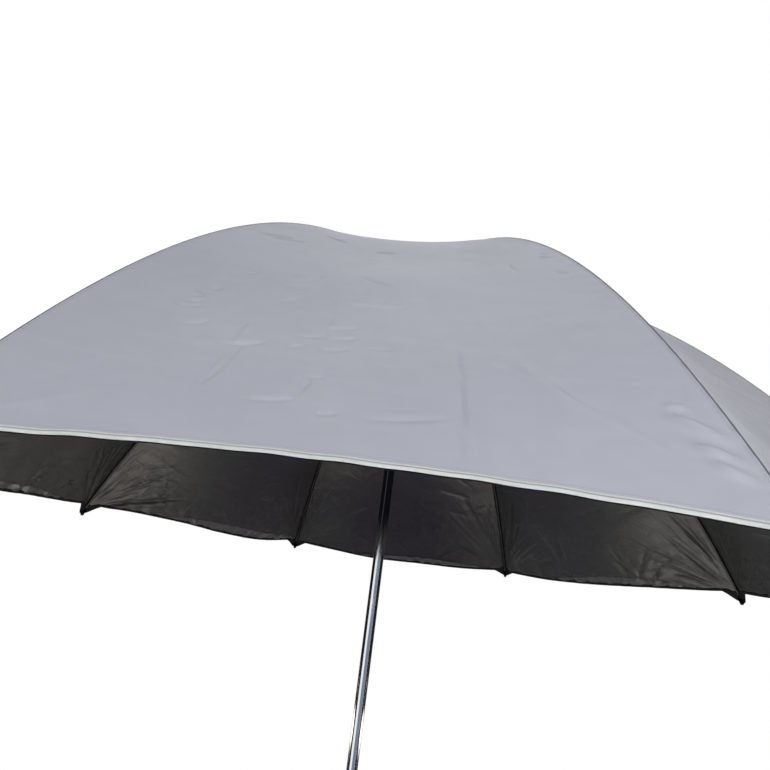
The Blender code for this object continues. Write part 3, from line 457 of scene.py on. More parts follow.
def silver_cloth():
    """Silver-grey coated taffeta: the outside of the canopy."""
    made, tree, shader = new_material("silver taffeta")
    place, across, along = cloth_place(tree)
    seam = measure(tree, "seam_distance")
    patches = mottled(tree, place, 3.2)
    streaks = stepped(tree, noise(tree, place, 60.0, 3.0, stretch=(0.12, 1.0, 1.0)), 0.45, 0.75)
    beside_seam = stitched(tree, less(tree, seam, 0.0034), along, width=0.0008)
    thread = maths(tree, "MAXIMUM", beside_seam, stitched_hem(tree, across))
    colour = layered(
        tree,
        mixed(tree, patches, (0.388, 0.402, 0.458), (0.416, 0.430, 0.488)),
        (product(tree, streaks, 0.12), (0.49, 0.50, 0.55)),
        (stepped(tree, seam, 0.0007, 0.0014, 0.85, 0.0), (0.05, 0.052, 0.06)),
        (product(tree, thread, 0.35), (0.22, 0.23, 0.26)),
    )
    normal = textured(
        tree,
        (woven(tree, place, 0.0011), 0.12, 0.0002),
        (crumpled(tree, place, 7.0), 0.22, 0.0008),
        (noise(tree, place, 34.0, 4.0, stretch=(0.5, 1.0, 1.0)), 0.05, 0.003),
        (thread, 0.5, 0.0004),
    )
    gloss = stepped(tree, patches, 0.0, 1.0, 0.52, 0.44)
    feed(tree, shader, Base_Color=colour, Roughness=gloss, Normal=normal, Specular_IOR_Level=0.28)
    feed(tree, shader, Sheen_Weight=0.05, Sheen_Roughness=0.45, Sheen_Tint=(0.85, 0.9, 1.0, 1.0))
    return made


def black_lining():
    """The black coated side of the same cloth, with a painted highlight on its curled hem bands and painted
    shade along the tucks where they fold.
    """
    made, tree, shader = new_material("black lining")
    place, across, along = cloth_place(tree)
    band = measure(tree, "band_depth")
    in_band = stepped(tree, band, 0.0005, 0.003)
    patches = mottled(tree, place, 4.5)
    colour = layered(
        tree,
        mixed(tree, patches, (0.0125, 0.0120, 0.0135), (0.024, 0.0228, 0.0212)),
        # painted highlight: the curled hem band of the same cloth is painted lighter, as where light catches
        # the curl
        (product(tree, in_band, 0.8), (0.080, 0.078, 0.084)),
        # painted shade: a darker line along the tuck where the curled band folds
        (stepped(tree, maths(tree, "ABSOLUTE", band), 0.0026, 0.0040, 0.9, 0.0), (0.006, 0.006, 0.007)),
        (product(tree, stitched_hem(tree, across), 0.6), (0.10, 0.10, 0.11)),
    )
    above = less(tree, RIB_ARC, along)
    fans = using(tree, FANS, Aside=measure(tree, "seam_distance"), Above=above, Across=across)["Height"]
    normal = textured(
        tree,
        (woven(tree, place, 0.0011), 0.10, 0.0002),
        (crumpled(tree, place, 15.0), 0.5, 0.0012),
        (fans, 0.38, 0.0016),
        (noise(tree, place, 48.0, 4.0), 0.22, 0.004),
    )
    gloss = stepped(tree, maths(tree, "MAXIMUM", in_band, patches), 0.0, 1.0, 0.40, 0.30)
    feed(tree, shader, Base_Color=colour, Roughness=gloss, Normal=normal, Specular_IOR_Level=0.6)
    return made


def pale_binding():
    """A folded pale tape: two light stripes with a stitched grey line between them."""
    made, tree, shader = new_material("pale binding")
    place, across, along = cloth_place(tree)
    off_line = distance(tree, across, BINDING_LINE)
    between = stepped(tree, off_line, 0.0004, 0.0011, 1.0, 0.0)
    patches = mottled(tree, place, 14.0)
    colour = layered(
        tree,
        mixed(tree, patches, (0.54, 0.565, 0.56), (0.63, 0.655, 0.645)),
        (product(tree, between, 0.85), (0.31, 0.335, 0.33)),
        (product(tree, stitched(tree, off_line, along, pitch=0.0030), 0.5), (0.20, 0.21, 0.22)),
    )
    normal = textured(tree, (woven(tree, place, 0.0009), 0.3, 0.0002), (between, 0.6, -0.0006))
    gloss = stepped(tree, patches, 0.0, 1.0, 0.62, 0.5)
    feed(tree, shader, Base_Color=colour, Normal=normal, Roughness=gloss)
    return made


def black_tape():
    """Woven black tape over the seams, inside."""
    made, tree, shader = new_material("black seam tape")
    place, across, along = cloth_place(tree)
    patches = mottled(tree, place, 20.0)
    row = stitched(tree, less(tree, maths(tree, "ABSOLUTE", across), 0.0056), along)
    colour = mixed(tree, patches, (0.005, 0.005, 0.006), (0.011, 0.011, 0.012))
    colour = mixed(tree, row, colour, (0.05, 0.05, 0.055))
    normal = textured(tree, (woven(tree, place, 0.0012), 0.4, 0.0003), (row, 0.5, 0.0004))
    gloss = stepped(tree, patches, 0.0, 1.0, 0.7, 0.55)
    feed(tree, shader, Base_Color=colour, Normal=normal, Roughness=gloss, Specular_IOR_Level=0.06)
    return made


def black_edging():
    """Smooth black tape along the hems and at the corners."""
    made, tree, shader = new_material("black edging")
    place, across, _ = cloth_place(tree)
    patches = mottled(tree, place, 18.0)
    row = stitched_hem(tree, across, height=0.004, pitch=0.0030)
    colour = mixed(tree, patches, (0.006, 0.006, 0.007), (0.013, 0.013, 0.014))
    colour = mixed(tree, product(tree, row, 0.6), colour, (0.06, 0.06, 0.065))
    normal = textured(tree, (woven(tree, place, 0.0010), 0.3, 0.0002), (row, 0.4, 0.0004))
    gloss = stepped(tree, patches, 0.0, 1.0, 0.72, 0.58)
    feed(tree, shader, Base_Color=colour, Normal=normal, Roughness=gloss, Specular_IOR_Level=0.15)
    return made


def metal(name, colour, worn_colour, roughness, smudged_roughness, metallic=1.0):
    """A plated or painted metal with hairlines and smudges."""
    made, tree, shader = new_material(name)
    place = solid_place(tree)
    marks = using(tree, SCRATCHES, Place=place)
    share = product(tree, maths(tree, "MINIMUM", marks["Lines"], 1.0), 0.5)
    patches = product(tree, mottled(tree, place, 30.0), 0.12)
    tone = layered(tree, colour, (share, worn_colour), (patches, worn_colour))
    gloss = stepped(tree, maths(tree, "ADD", marks["Smudges"], share), 0.0, 1.2, roughness, smudged_roughness)
    normal = textured(tree, (marks["Lines"], 0.05, 0.0002))
    feed(tree, shader, Base_Color=tone, Roughness=gloss, Normal=normal, Metallic=metallic)
    return made


def black_plastic():
    """Moulded plastic with a fine spark-eroded grain and rubbed edges."""
    made, tree, shader = new_material("black moulded plastic")
    place = solid_place(tree)
    patches = mottled(tree, place, 22.0)
    rubbed = stepped(tree, add(tree, "NewGeometry").outputs["Pointiness"], 0.53, 0.60)
    colour = mixed(tree, patches, (0.016, 0.016, 0.017), (0.026, 0.026, 0.028))
    colour = mixed(tree, product(tree, rubbed, 0.5), colour, (0.07, 0.07, 0.072))
    gloss = stepped(tree, maths(tree, "ADD", patches, rubbed), 0.0, 1.5, 0.52, 0.34)
    normal = textured(tree, (noise(tree, place, 1400.0, 2.0), 0.22, 0.0004))
    feed(tree, shader, Base_Color=colour, Normal=normal, Roughness=gloss)
    return made


SILVER = silver_cloth()
LINING = black_lining()
BINDING = pale_binding()
TAPE = black_tape()
EDGING = black_edging()
CHROME = metal("chromed tube", (0.84, 0.85, 0.88), (0.62, 0.62, 0.64), 0.05, 0.13)
BRIGHT = metal("bright steel", (0.52, 0.52, 0.53), (0.36, 0.35, 0.34), 0.24, 0.38)
PAINTED = metal("black painted steel", (0.014, 0.014, 0.015), (0.06, 0.06, 0.062), 0.32, 0.46, metallic=0.0)
PLASTIC = black_plastic()


# The canopy's surface


def eased(share):
    share = np.clip(share, 0.0, 1.0)
    return share * share * (3 - 2 * share)


def slope(arc):
    """The rib's slope below the horizontal, at an arc from its crown hinge."""
    arc = np.clip(arc, 0.0, RIB_ARC)
    before = arc**2 / (JOINT_ARC * RIB_ARC)
    after = 1 - (RIB_ARC - arc) ** 2 / ((RIB_ARC - JOINT_ARC) * RIB_ARC)
    share = EVEN_BEND * arc / RIB_ARC + (1 - EVEN_BEND) * np.where(arc < JOINT_ARC, before, after)
    return START_SLOPE + (END_SLOPE - START_SLOPE) * share


def rib_table():
    """Arcs along a rib, with the distance out and up from its hinge at each."""
    arcs = np.arange(-0.04, RIB_ARC + 0.03, ARC_TABLE_STEP)
    middle = slope((arcs[1:] + arcs[:-1]) / 2)
    out = np.concatenate([[0.0], np.cumsum(np.cos(middle))]) * ARC_TABLE_STEP
    up = -np.concatenate([[0.0], np.cumsum(np.sin(middle))]) * ARC_TABLE_STEP
    return arcs, out - np.interp(0.0, arcs, out), up - np.interp(0.0, arcs, up)


ARCS, RIB_OUT, RIB_UP = rib_table()


def seam_line(arc):
    """The outside of the cloth over a rib: its distance from the pole's axis, and its height."""
    lift = CLOTH_OVER_RIB + CLOTH_LIFT_AT_CROWN * (1 - eased(arc / CLOTH_LIFT_LENGTH))
    radius = HINGE_RADIUS + np.interp(arc, ARCS, RIB_OUT) + lift * np.sin(slope(arc))
    return radius, CROWN_HEIGHT + np.interp(arc, ARCS, RIB_UP) + lift * np.cos(slope(arc))


def turned(points, azimuth):
    c, s = math.cos(azimuth), math.sin(azimuth)
    x, y, z = points[..., 0], points[..., 1], points[..., 2]
    return np.stack([c * x - s * y, s * x + c * y, z], -1)


def panel_azimuth(number):
    return -math.pi / 2 + (number - 1) * 2 * HALF_STEP


def half_width(arc):
    return seam_line(arc)[0] * math.sin(HALF_STEP)


def bow(across):
    """0 at both ribs and 1 midway."""
    return 4 * across * (1 - across)


def smooth_panel(across, arc):
    """Points of a panel whose middle faces +X, without its folds."""
    radius, height = seam_line(arc)
    steep = np.tan(slope(arc)) / math.cos(HALF_STEP)
    hem = eased((arc - RIB_ARC + HEM_SAG_LENGTH) / HEM_SAG_LENGTH)
    sag = (CLOTH_SAG + (HEM_SAG - CLOTH_SAG) * hem) * 2 * radius * math.sin(HALF_STEP) * bow(across)
    out = radius * math.cos(HALF_STEP) - sag * steep / np.hypot(steep, 1)
    side = (2 * across - 1) * radius * math.sin(HALF_STEP)
    return np.stack([out, side, height - sag / np.hypot(steep, 1)], -1)


def grid_normals(points):
    """Outward normals of a grid whose rows run away from the crown and whose columns run anticlockwise."""
    down = np.gradient(points, axis=0)
    along = np.gradient(points, axis=1)
    normals = np.cross(down, along)
    return normals / np.linalg.norm(normals, axis=-1, keepdims=True)


def waves(x, y, draw, count, shortest, longest, heading, spread, height):
    """A sum of plane waves whose crests run about square to a heading."""
    total = np.zeros(np.broadcast(x, y).shape)
    for _ in range(count):
        length = draw.uniform(shortest, longest)
        turn = heading + draw.uniform(-spread, spread)
        phase = draw.uniform(0, 2 * math.pi)
        total += np.cos(2 * math.pi * (x * math.cos(turn) + y * math.sin(turn)) / length + phase)
    return total / math.sqrt(count / 2) * height


def crease(x, y, first, last, width, height):
    """One fold between two points, which fades at its ends and its sides."""
    length = math.dist(first, last)
    ahead = ((last[0] - first[0]) / length, (last[1] - first[1]) / length)
    from_x, from_y = x - (first[0] + last[0]) / 2, y - (first[1] + last[1]) / 2
    along = from_x * ahead[0] + from_y * ahead[1]
    off = from_y * ahead[0] - from_x * ahead[1] + CREASE_BEND * along**2 / length
    return height * np.exp(-((off / width) ** 2) - (along / (CREASE_REACH * length)) ** 4)


def short_creases(x, y, draw, count):
    """Short sharp folds, mostly across the panel."""
    total = np.zeros(np.broadcast(x, y).shape)
    for _ in range(count):
        middle_y = draw.uniform(0.45, 1.2)
        middle_x = draw.uniform(-0.8, 0.8) * float(half_width(middle_y))
        turn = draw.normal(0.0, 0.35)
        reach = draw.uniform(0.015, 0.055)
        step = (reach * math.cos(turn), reach * math.sin(turn))
        ends = (middle_x - step[0], middle_y - step[1]), (middle_x + step[0], middle_y + step[1])
        total += crease(x, y, *ends, draw.uniform(0.0045, 0.009), draw.uniform(-0.5, 1.0))
    return total


def fan(x, y, draw, count, origin, turns, starts, lengths):
    """Folds that run out of one point, each at its own turn from the way to the crown."""
    total = np.zeros(np.broadcast(x, y).shape)
    for _ in range(count):
        turn = draw.uniform(*turns)
        near = draw.uniform(*starts)
        far = near + draw.uniform(*lengths)
        lean = turn + draw.normal(0.0, 0.06)
        first = (origin[0] + near * math.sin(turn), origin[1] - near * math.cos(turn))
        last = (origin[0] + far * math.sin(lean), origin[1] - far * math.cos(lean))
        width = draw.uniform(0.0035, 0.008)
        total += crease(x, y, first, last, width, draw.uniform(0.4, 1.2) * draw.choice((-0.6, 1.0)))
    return total


def all_fans(number, x, y, draw):
    """The folds out of a panel's two corners and out of its hem."""
    corner = float(half_width(RIB_ARC))
    first, last, rising = FOLDS_FROM[number]
    mirrored = (-CORNER_TURNS[1], -CORNER_TURNS[0])
    total = fan(x, y, draw, first, (-corner, RIB_ARC), CORNER_TURNS, *CORNER_FOLDS)
    total += fan(x, y, draw, last, (corner, RIB_ARC), mirrored, *CORNER_FOLDS)
    for _ in range(HEM_FANS):
        origin = (draw.uniform(-0.45, 0.45) * corner, RIB_ARC - 0.015)
        total += fan(x, y, draw, rising // HEM_FANS, origin, *HEM_FOLDS)
    return total


def folds(number, x, y, from_hem, from_seam, band):
    """How far the cloth stands out of its smooth surface."""
    draw = np.random.default_rng(FOLD_SEED + number)
    soft = waves(x, y, draw, *SOFT_WAVES)
    fine = waves(x, y, draw, *FINE_WAVES)
    crown = waves(np.arctan2(x, y + 0.03), 0 * y, draw, *CROWN_WAVES) * np.exp(-y / 0.12)
    puckers = waves(0 * x, y, draw, *PUCKERS) * np.exp(-from_seam / 0.014) * eased(from_seam / 0.004)
    ridge = SEAM_RIDGE * np.exp(-((from_seam / SEAM_RIDGE_WIDTH) ** 2))
    ridge = ridge - SEAM_DIP * np.exp(-(((from_seam - SEAM_DIP_PLACE) / SEAM_RIDGE_WIDTH) ** 2))
    fans = all_fans(number, x, y, draw) * FAN_HEIGHT
    shown = eased(from_seam / 0.04)
    if number == FRONT:
        placed = sum(
            crease(x, y, row[:2], row[2:4], CREASE_WIDTH * row[4], CREASE_HEIGHT * row[5])
            for row in 0.001 * np.array(FRONT_CREASES)
        )
        at_hem = waves(x, y, draw, *FRONT_HEM_WAVES) * np.exp(-from_hem / 0.04)
        soft = soft * (0.8 - 0.7 * np.exp(-from_hem / 0.08))
        across = soft + fine * 0.8 + placed + fans * FRONT_FAN_SHARE + at_hem + crown
    else:
        sharp = short_creases(x, y, draw, SHORT_CREASES) * SHORT_CREASE_HEIGHT
        at_hem = waves(x, y, draw, *HEM_WAVES) * np.exp(-from_hem / 0.06) * eased(from_hem / 0.012)
        ruffle = waves(x, y, draw, *RUFFLES) * eased(band / 0.008) * eased(from_hem / 0.010)
        tuck = -TUCK_DEPTH * np.exp(-((band / 0.0025) ** 2)) * eased((from_hem - 0.004) / 0.008)
        curl = CURL_HEIGHT * eased(band / 0.03)
        across = soft + fine + fans + sharp + at_hem + crown + ruffle + curl + tuck
    return across * shown + puckers + ridge


def through(values, share):
    """A smooth curve through evenly spaced values, at a share of its length."""
    values = np.asarray(values, float)
    place = np.clip(share, 0.0, 1.0) * (len(values) - 1)
    first = np.minimum(place.astype(int), len(values) - 2)
    t = place - first
    rates = np.gradient(values)
    near = (1 + 2 * t) * (1 - t) ** 2 * values[first] + t * (1 - t) ** 2 * rates[first]
    return near + t * t * (3 - 2 * t) * values[first + 1] - t * t * (1 - t) * rates[first + 1]


def hem_rise(number, across):
    """How far a panel's hem lies above the line between its corners."""
    if number == FRONT:
        return FRONT_HEM_RISE * bow(across)
    beside_rib = np.minimum(across, 1 - across) * 2 * half_width(RIB_ARC)
    return 0.001 * through(HEM_RISES[number], across) * eased(beside_rib / HEM_NOTCH)


class Panel:
    """A whole panel as a grid: rows from the crown to the hem, columns from rib to rib."""

    def __init__(self, number):
        side_steps = FRONT_SIDE_STEPS if number == FRONT else SIDE_STEPS
        inner = np.linspace(CLOTH_START, JOINT_ARC, INNER_ROWS + 1)
        outer = np.linspace(JOINT_ARC, RIB_ARC - HEM_FOLD, OUTER_ROWS + 1)[1:]
        hem = np.linspace(RIB_ARC - HEM_FOLD, RIB_ARC, HEM_ROWS + 1)[1:]
        at_rib = np.concatenate([inner, outer, hem])[:, None]
        half = half_width(at_rib)
        strip = np.minimum(STRIP_HALF, 0.5 * half)
        side = np.linspace(0, 1, side_steps + 1)[1:]
        from_rib = np.concatenate([strip * np.array(STRIP_STEPS), strip + (half - strip) * side], 1)
        from_rib = from_rib / (2 * half)
        across = np.concatenate([from_rib, 1 - from_rib[:, -2::-1]], 1)
        hem_arc = RIB_ARC - hem_rise(number, across)
        if number == FRONT:
            band = FRONT_HEM_TURNING * bow(across)
        else:
            middle, reach, width = HEM_BANDS[number]
            band = 0.001 * width * np.clip(1 - ((across - middle) / reach) ** 2, 0, 1)
        fold_arc = hem_arc - HEM_FOLD - band
        down = np.clip((at_rib - JOINT_ARC) / (RIB_ARC - HEM_FOLD - JOINT_ARC), 0, 1)
        last = np.clip((at_rib - RIB_ARC + HEM_FOLD) / HEM_FOLD, 0, 1)
        below = JOINT_ARC + down * (fold_arc - JOINT_ARC) + last * (hem_arc - fold_arc)
        arc = np.where(at_rib < JOINT_ARC, at_rib, below)
        across_m = (2 * across - 1) * half_width(arc)
        self.chart_x = across_m + CHART_STEP * number
        self.arc = arc
        self.seam_distance = np.minimum(across, 1 - across) * 2 * half_width(arc)
        self.hem_distance = hem_arc - arc
        banded = (arc > JOINT_ARC) & (band > LEAST_BAND) & (number != FRONT)
        self.band_depth = np.where(banded, arc - fold_arc, NO_BAND)
        self.strip_steps = len(STRIP_STEPS) - 1
        self.middle = self.strip_steps + side_steps
        smooth = smooth_panel(across, arc)
        out = folds(number, across_m, arc, self.hem_distance, self.seam_distance, self.band_depth)
        points = smooth + out[..., None] * grid_normals(smooth)
        normals = grid_normals(points)
        azimuth = panel_azimuth(number)
        self.outside = turned(points, azimuth)
        self.inside = turned(points - CLOTH_THICKNESS * normals, azimuth)
        self.normals = turned(normals, azimuth)

    def part(self, rows, columns):
        """The grid's data for a range of rows and columns."""
        names = ("outside", "inside", "normals", "chart_x", "arc", *MEASURES)
        return {name: getattr(self, name)[rows, columns] for name in names}


def plain_part(points, normals, out, deep, chart_x, arc, hem_distance):
    """A part away from seams and curled bands, whose two skins lie out and deep from its points."""
    return {
        "outside": points + out * normals,
        "inside": points - deep * normals,
        "normals": normals,
        "chart_x": chart_x,
        "arc": arc,
        "seam_distance": np.full_like(arc, OFF_SEAM),
        "hem_distance": hem_distance,
        "band_depth": np.full_like(arc, NO_BAND),
    }


def beside(first, second):
    """Two parts side by side, whose columns meet."""
    return {name: np.concatenate([first[name], second[name]], 1) for name in first}


def shell(name, part, materials, meeting=None, edge_slot=0):
    """A thin closed piece from a grid's two skins. Its column meeting and the next one are the same line."""
    rows, columns = part["arc"].shape
    same = np.arange(2 * rows * columns)
    corner = same.reshape(2, rows, columns).copy()
    points = np.concatenate([part["outside"].reshape(-1, 3), part["inside"].reshape(-1, 3)])
    if meeting is not None:
        for skin in corner:
            first, second = skin[:, meeting], skin[:, meeting + 1]
            points[first] = (points[first] + points[second]) / 2
            same[second] = first
    a, b, c, d = corner[:, :-1, :-1], corner[:, :-1, 1:], corner[:, 1:, 1:], corner[:, 1:, :-1]
    keep = np.ones(columns - 1, bool)
    if meeting is not None:
        keep[meeting] = False
    top = np.stack([a[0], d[0], c[0], b[0]], -1)[:, keep].reshape(-1, 4)
    under = np.stack([a[1], b[1], c[1], d[1]], -1)[:, keep].reshape(-1, 4)
    walls = []
    for end, way in ((0, 1), (-1, -1)):
        line = corner[:, end, :]
        wall = np.stack([line[0, :-1], line[0, 1:], line[1, 1:], line[1, :-1]], -1)[keep]
        walls.append(wall[:, ::way])
        line = corner[:, :, end]
        wall = np.stack([line[0, :-1], line[1, :-1], line[1, 1:], line[0, 1:]], -1)
        walls.append(wall[:, ::way])
    faces = np.concatenate([top, under, *walls])
    slots = np.concatenate([np.zeros(len(top), int), np.ones(len(under), int)])
    slots = np.concatenate([slots, np.full(len(faces) - len(slots), edge_slot)])
    flat = np.cross(points[faces[:, 2]] - points[faces[:, 0]], points[faces[:, 3]] - points[faces[:, 1]])
    flat /= np.maximum(np.linalg.norm(flat, axis=1, keepdims=True), 1e-12)
    normals = np.concatenate([part["normals"].reshape(-1, 3), -part["normals"].reshape(-1, 3)])[faces]
    edge = len(top) + len(under)
    normals[edge:] = flat[edge:, None]
    chart = np.stack([part["chart_x"], part["arc"]], -1).reshape(-1, 2)
    chart = np.concatenate([chart, chart])[faces]
    used, numbers = np.unique(same[faces], return_inverse=True)
    faces = numbers.reshape(-1, 4)
    mesh = mesh_of(name, points[used], faces, slots % len(materials), normals, chart, materials)
    for label in MEASURES:
        values = np.concatenate([part[label].ravel()] * 2)[used]
        mesh.attributes.new(label, "FLOAT", "POINT").data.foreach_set("value", values.astype(np.float32))
    return linked(name, mesh)


def mesh_of(name, points, faces, slots, normals, chart, materials):
    """A mesh of quads with a normal and cloth coordinates at each corner."""
    mesh = bpy.data.meshes.new(name)
    mesh.vertices.add(len(points))
    mesh.vertices.foreach_set("co", points.astype(np.float32).ravel())
    mesh.loops.add(faces.size)
    mesh.loops.foreach_set("vertex_index", faces.astype(np.int32).ravel())
    mesh.polygons.add(len(faces))
    mesh.polygons.foreach_set("loop_start", np.arange(0, faces.size, 4, dtype=np.int32))
    mesh.polygons.foreach_set("material_index", slots.astype(np.int32))
    mesh.update(calc_edges=True)
    mesh.validate()
    mesh.polygons.foreach_set("use_smooth", np.ones(len(faces), bool))
    layer = mesh.uv_layers.new(name="cloth")
    layer.data.foreach_set("uv", chart.astype(np.float32).ravel())
    for material in materials:
        mesh.materials.append(material)
    mesh.normals_split_custom_set(normals.reshape(-1, 3).tolist())
    return mesh


def linked(name, data):
    made = bpy.data.objects.new(name, data)
    bpy.context.scene.collection.objects.link(made)
    return made


def fold_flat(piece):
    """Gives the piece its own copy of its mesh."""
    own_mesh(piece)


# Down from the hem's edge and out of the cloth, from the binding's top outside round to its top inside
BINDING_OUTSIDE = (
    (-0.0071, 0.0006),
    (-0.0068, 0.0012),
    (-0.0046, 0.0015),
    (-BINDING_LINE, 0.0011),
    (-0.0032, 0.0015),
    (-0.0006, 0.0013),
)
BINDING_INSIDE = (
    (-0.0004, 0.0010),
    (0.0010, 0.0010),
    (0.0013, 0.0),
    (0.0010, -0.0011),
    (-0.0070, -0.0012),
    (-0.0074, -0.0006),
)
BINDING_SHARP_ANGLE = math.radians(60)


def binding(name, part):
    """A tape folded over the hem of a part whose last row is the hem: pale outside, black inside."""
    edge = part["outside"][-1] - part["normals"][-1] * CLOTH_THICKNESS / 2
    out = part["normals"][-1]
    along = np.gradient(edge, axis=0)
    along /= np.linalg.norm(along, axis=1, keepdims=True)
    down = np.cross(along, out)
    if down[len(down) // 2, 2] > 0:
        down = -down
    profile = BINDING_OUTSIDE + BINDING_INSIDE
    rings = np.stack([edge + x * down + y * out for x, y in profile], 1)
    lengths = np.concatenate([[0], np.cumsum(np.linalg.norm(np.diff(edge, axis=0), axis=1))])
    count, sides = len(edge), len(profile)
    number = np.arange(count * sides).reshape(count, sides)
    faces, chart, slots = [], [], []
    for i in range(count - 1):
        for j in range(sides):
            k = (j + 1) % sides
            faces.append((number[i, j], number[i + 1, j], number[i + 1, k], number[i, k]))
            near, far = -profile[j][0], -profile[k][0]
            chart += [(near, lengths[i]), (near, lengths[i + 1]), (far, lengths[i + 1]), (far, lengths[i])]
            slots.append(int(j > len(BINDING_OUTSIDE)))
    ends = [tuple(number[0, ::-1]), tuple(number[-1])]
    mesh = bpy.data.meshes.new(name)
    mesh.from_pydata(rings.reshape(-1, 3).tolist(), [], [tuple(map(int, face)) for face in faces + ends])
    mesh.polygons.foreach_set("material_index", slots + [1, 1])
    layer = mesh.uv_layers.new(name="cloth")
    chart += [(0.0, 0.0)] * (2 * sides)
    layer.data.foreach_set("uv", np.array(chart, np.float32).ravel())
    mesh.materials.append(BINDING)
    mesh.materials.append(EDGING)
    mesh.shade_smooth()
    mesh.set_sharp_from_angle(angle=BINDING_SHARP_ANGLE)
    return linked(name, mesh)


# The corner pockets, along the rib and from it to each side
POCKET_START = RIB_ARC - 0.024
POCKET_WIDEST = RIB_ARC - 0.003
POCKET_END = RIB_ARC + CAP_END + 0.0020
POCKET_ROWS = (11, 15)  # down to the widest place, and from there on
POCKET_COLUMNS = 29
POCKET_START_HALF = 0.004
POCKET_HALF = 0.046
POCKET_FLARE = 2.2
POCKET_TIP_HALF = 0.0062
POCKET_TIP_SHARES = (0.98, 0.86, 0.55)  # the round end, in its last rows
FRONT_POCKET_SHARE = 0.4  # of the width, on the front panel's side
POCKET_LOWERING = 0.85  # how much of the hem's rise its tip leaves out
POCKET_PROUD = 0.0014
CAP_ROOM = 0.0100  # further in, round the tip cap
CAP_ROOM_HALF = 0.0070
POCKET_STITCH_SHIFT = 0.0065  # added to hem_distance, which moves the stitches towards the edge


def corner_pocket(number):
    """The black pocket at a corner of the canopy, with the rib's capped end in it."""
    widening_arcs = np.linspace(POCKET_START, POCKET_WIDEST, POCKET_ROWS[0])
    arcs = np.concatenate([widening_arcs, np.linspace(POCKET_WIDEST, POCKET_END, POCKET_ROWS[1])[1:]])
    begun = (arcs - POCKET_START) / (POCKET_WIDEST - POCKET_START)
    share = (arcs - POCKET_WIDEST) / (POCKET_END - POCKET_WIDEST)
    widening = POCKET_START_HALF + (POCKET_HALF - POCKET_START_HALF) * np.clip(begun, 0, 1) ** POCKET_FLARE
    narrowing = POCKET_HALF + (POCKET_TIP_HALF - POCKET_HALF) * share
    half = np.where(arcs < POCKET_WIDEST, widening, narrowing)
    half[-len(POCKET_TIP_SHARES) :] *= POCKET_TIP_SHARES
    u, arc = np.meshgrid(np.linspace(-1, 1, POCKET_COLUMNS), arcs)
    after = number % RIB_COUNT + 1
    narrowed = [FRONT_POCKET_SHARE if panel == FRONT else 1.0 for panel in (number, after)]
    reach = half[:, None] * np.where(u < 0, *narrowed)
    away = u * reach
    across = np.abs(away) / (2 * half_width(arc))
    rise = np.where(u < 0, hem_rise(number, 1 - across), hem_rise(after, across))
    rise = rise * (1 - POCKET_LOWERING * np.clip(share, 0, 1)[:, None])
    arc = arc - rise * eased((arc - POCKET_START) / (POCKET_WIDEST - POCKET_START))
    first = turned(smooth_panel(1 - across, arc), panel_azimuth(number))
    second = turned(smooth_panel(across, arc), panel_azimuth(number + 1))
    points = np.where(u[..., None] < 0, first, second)
    thin = (1 - np.abs(u) ** 6) * eased((arc - POCKET_START + 0.002) / 0.006)
    cap = np.exp(-((away / CAP_ROOM_HALF) ** 4)) * eased((arc - RIB_ARC + 0.014) / 0.012)
    out = POCKET_PROUD * (0.25 + 0.75 * thin)[..., None]
    deep = out + CLOTH_THICKNESS + CAP_ROOM * cap[..., None]
    from_edge = reach - np.abs(away) + POCKET_STITCH_SHIFT
    part = plain_part(points, grid_normals(points), out, deep, away, arc, from_edge)
    piece = shell(f"corner_pocket_{number}", part, (SILVER, EDGING), edge_slot=1)
    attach(piece, f"rib_outer_{number}")
    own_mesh(piece)
    return piece


def make_canopy():
    """Side pieces, their hem bindings and the corner pockets, each on one piece of the folding frame, and the
    strips and tapes over the ribs.
    """
    panels = {number: Panel(number) for number in range(1, RIB_COUNT + 1)}
    whole = slice(None)
    inner_rows = slice(0, INNER_ROWS + 1)
    outer_rows = slice(INNER_ROWS, None)
    for number in range(1, RIB_COUNT + 1):
        this, after = panels[number], panels[number % RIB_COUNT + 1]
        strip = this.strip_steps
        last = this.arc.shape[1]
        halves = this.part(whole, slice(last - 1 - strip, last)), after.part(whole, slice(0, strip + 1))
        ridge = beside(*halves)
        piece = shell(f"canopy_ridge_{number}", ridge, (SILVER, LINING), meeting=strip)
        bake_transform(piece)
        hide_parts(f"canopy_panel_{number}")
        corner_pocket(number)
        tape = dict(ridge)
        tape["outside"] = ridge["inside"] - TAPE_TOP * ridge["normals"]
        tape["inside"] = ridge["inside"] - TAPE_UNDER * ridge["normals"]
        columns = np.arange(ridge["arc"].shape[1])
        tape["chart_x"] = np.where(columns > strip, 1, -1) * ridge["seam_distance"]
        tape_piece = shell(f"seam_tape_{number}", tape, (TAPE,), meeting=strip)
        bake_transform(tape_piece)
        for side, name, panel, columns in (
            (-1, "left", this, slice(this.middle, last - strip)),
            (1, "right", after, slice(strip, after.middle + 1)),
        ):
            for stage, rows in (("inner", inner_rows), ("outer", outer_rows)):
                part = panel.part(rows, columns)
                piece = shell(f"canopy_{name}_{stage}_{number}", part, (SILVER, LINING))
                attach(piece, f"rib_{stage}_{number}")
                fold_flat(piece)
                if stage == "outer":
                    tape_over_hem = binding(f"hem_binding_{name}_{number}", part)
                    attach(tape_over_hem, f"rib_outer_{number}")
                    fold_flat(tape_over_hem)


